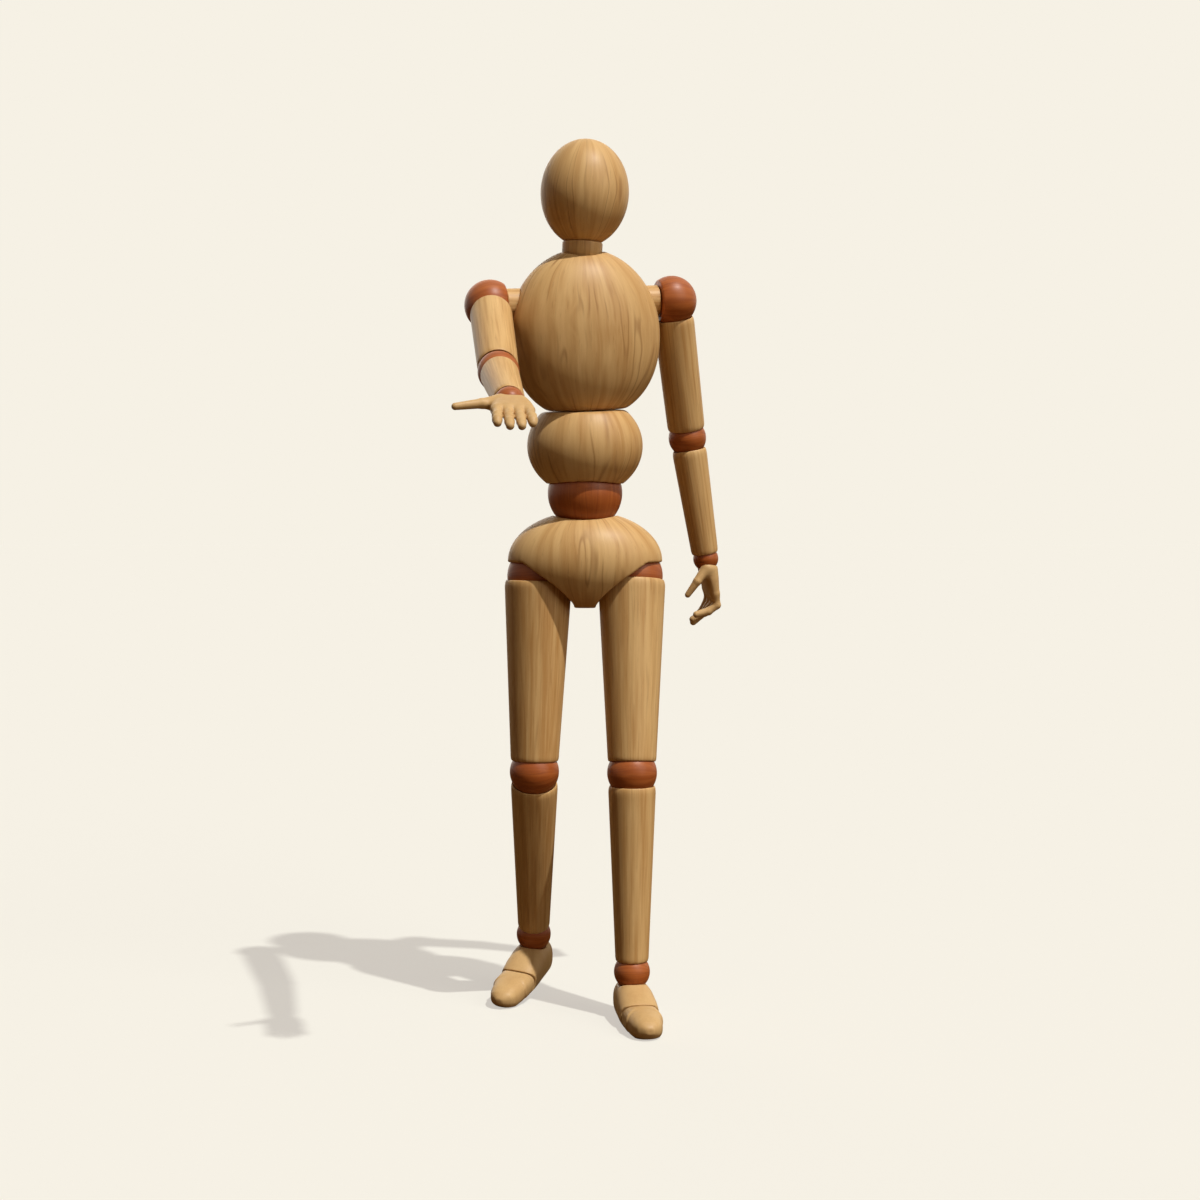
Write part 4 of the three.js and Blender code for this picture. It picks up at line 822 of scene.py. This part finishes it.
def hand_field(p, pose):
    """Palm, fingers and thumb blended into one, less the wrist ball's cup. Fingers stay apart
    from one another, because each is blended only into the palm."""
    raised = (p[0], p[1], p[2] - ANKLE_UP)
    palm = rings_field(raised, palm_rings, 2.3)
    whole = palm
    for x, reach, droop, curl in zip(finger_row, pose["reach"], pose["droop"], pose["curl"]):
        points = [
            (x, -12.2, -0.5),
            (1.08 * x, -pose["bend"], -0.4 + 0.35 * droop),
            (1.12 * x, -(pose["bend"] + reach) / 2 - 0.4, -0.4 + 0.7 * droop + 0.42 * curl),
            (1.12 * x, -reach + 0.6, -0.4 + droop + curl),
        ]
        strand = strand_field(p, points, (FINGER, 1.04 * FINGER, 0.97 * FINGER, 0.84 * FINGER))
        whole = np.minimum(whole, blend_in(palm, strand, 1.2))
    thumb = strand_field(p, pose["thumb"], (1.9, 1.45, 1.05))
    whole = blend_in(whole, thumb, 1.6)
    return carve(whole, ball_field(p, (0, 0, 0), WRIST_BALL + PLAY), 0.4)


hand_turn = {"left": 0.0, "right": -90.0}
for side, sign in SIDES:
    pose = hand_poses[side]
    low, high = (-18.5, -27.5, -5.5), (8.5, 1.5, 12.0)
    shape = skin(lambda p: hand_field(p, pose), low, high, 0.3)
    up = way(f"{side}_wrist_turn")
    turn = math.radians(hand_turn[side])
    level = way(f"{side}_wrist_bend", -1)
    level = level * math.cos(turn) + np.cross(up, level) * math.sin(turn)
    arm = place_on(hinge_at(f"{side}_wrist_turn"), level, up)
    held = np.eye(4)
    held[:3, :3] = np.array([[0, 0, -sign], [1, 0, 0], [0, 1, 0]])
    name = f"{side}_hand"
    plank = (7 * sign, 90, 5)
    make_piece(f"{name}_wood", shape, arm @ held, name, [name], carved_wood, plank, False)


# The steel inside: pins, hooks and springs of drawn wire, bright with fine lines along the
# drawing and faint grey film. They are the frame's own pieces and only get their finish here.
wire_steel = bpy.data.materials.new("drawn_steel_wire")
wire_steel.use_nodes = True
t = wire_steel.node_tree
shader = t.nodes["Principled BSDF"]
spot = node(t, "ShaderNodeTexCoord").outputs["Object"]
film = noise_of(t, spot, 420.0, 4.0)
lines = noise_of(t, scaled(t, spot, 1, 1, 0.08), 5200.0, 2.0)
shade = node(t, "ShaderNodeMix", data_type="RGBA")
t.links.new(range_of(t, film, 0.35, 0.7), shade.inputs[0])
shade.inputs[6].default_value = (0.62, 0.62, 0.61, 1)
shade.inputs[7].default_value = (0.42, 0.42, 0.43, 1)
t.links.new(shade.outputs[2], shader.inputs["Base Color"])
shader.inputs["Metallic"].default_value = 1.0
t.links.new(range_of(t, lines, 0.3, 0.7, 0.24, 0.42), shader.inputs["Roughness"])
scratch = node(t, "ShaderNodeBump", Strength=0.1, Distance=0.00002)
t.links.new(lines, scratch.inputs["Height"])
t.links.new(scratch.outputs["Normal"], shader.inputs["Normal"])
for part in frame["record"]["subparts"]:
    if part["material_slot"] == "steel":
        steel_mesh = frame["nodes"][part["node"]].data
        for i in range(len(steel_mesh.materials)):
            steel_mesh.materials[i] = wire_steel


# The floor and the light: a plain warm-white sweep without a horizon, a sun high at the right
# and in front, a weak warm surround, and two weak lamps that cast no shadow. The floor glows a
# little for the camera alone, so that the shadow on it stays pale while the undersides of the
# wood stay dark.
floor_mesh = bpy.data.meshes.new("floor")
floor_mesh.from_pydata([(-30, -30, 0), (30, -30, 0), (30, 30, 0), (-30, 30, 0)], [], [(0, 1, 2, 3)])
floor = bpy.data.objects.new("floor", floor_mesh)
bpy.context.scene.collection.objects.link(floor)
paper = bpy.data.materials.new("paper_floor")
paper.use_nodes = True
t = paper.node_tree
shader = t.nodes["Principled BSDF"]
shader.inputs["Roughness"].default_value = 1.0
shader.inputs["Specular IOR Level"].default_value = 0.0
seen = node(t, "ShaderNodeLightPath")
seen_straight = sum_of(t, "MAXIMUM", seen.outputs["Is Camera Ray"], seen.outputs["Is Transmission Ray"])
own = node(t, "ShaderNodeMix", data_type="RGBA")
t.links.new(seen_straight, own.inputs[0])
own.inputs[6].default_value = (0.11, 0.062, 0.025, 1)
own.inputs[7].default_value = (0.333, 0.337, 0.301, 1)
t.links.new(own.outputs[2], shader.inputs["Base Color"])
shader.inputs["Emission Color"].default_value = (0.562, 0.530, 0.489, 1)
t.links.new(seen_straight, shader.inputs["Emission Strength"])
floor_mesh.materials.append(paper)

world = bpy.data.worlds.new("studio")
bpy.context.scene.world = world
world.use_nodes = True
t = world.node_tree
t.nodes.clear()
seen = node(t, "ShaderNodeLightPath")
shown = sum_of(t, "MAXIMUM", seen.outputs["Is Camera Ray"], seen.outputs["Is Transmission Ray"])
shown = sum_of(t, "MAXIMUM", shown, seen.outputs["Is Glossy Ray"])
fill = node(t, "ShaderNodeBackground", Color=(1.0, 0.66, 0.36, 1), Strength=0.08)
sweep = node(t, "ShaderNodeBackground", Color=(0.922, 0.879, 0.783, 1), Strength=1.0)
both = node(t, "ShaderNodeMixShader")
t.links.new(shown, both.inputs[0])
t.links.new(fill.outputs[0], both.inputs[1])
t.links.new(sweep.outputs[0], both.inputs[2])
t.links.new(both.outputs[0], node(t, "ShaderNodeOutputWorld").inputs["Surface"])

key_light = bpy.data.lights.new("key", "SUN")
key_light.energy = 3.05
key_light.angle = math.radians(1.2)
key_light.color = (1.0, 0.985, 0.96)
key = bpy.data.objects.new("key", key_light)
bpy.context.scene.collection.objects.link(key)
light_way = np.array([-0.404, 0.423, -1.0])
key.rotation_euler = Vector(-light_way).to_track_quat("Z", "Y").to_euler()
for name, energy, toward in (("front", 0.85, (0.75, -0.65, 0.5)), ("rear", 0.45, (-0.35, 0.9, 0.3))):
    soft_light = bpy.data.lights.new(name, "SUN")
    soft_light.energy = energy
    soft_light.angle = math.radians(40)
    soft_light.color = (1.0, 0.96, 0.88)
    soft_light.cycles.cast_shadow = False
    soft = bpy.data.objects.new(name, soft_light)
    bpy.context.scene.collection.objects.link(soft)
    soft.rotation_euler = Vector(toward).to_track_quat("Z", "Y").to_euler()


# The camera: straight in front, a little above the hips, looking slightly down, as far away as
# a desk figure is photographed from.
camera_data = bpy.data.cameras.new("camera")
camera_data.lens = 55.5
camera_data.sensor_width = 36.0
camera_data.clip_start = 0.01
camera = bpy.data.objects.new("camera", camera_data)
bpy.context.scene.collection.objects.link(camera)
pelvis_centre = pelvis_place[:3, 3]
camera.location = (pelvis_centre[0] + 0.0051, pelvis_centre[1] - 0.6307, 0.1633)
camera.rotation_euler = (math.radians(90 - 2.02), 0, 0)
bpy.context.scene.camera = camera
bpy.context.scene.view_settings.view_transform = "Standard"
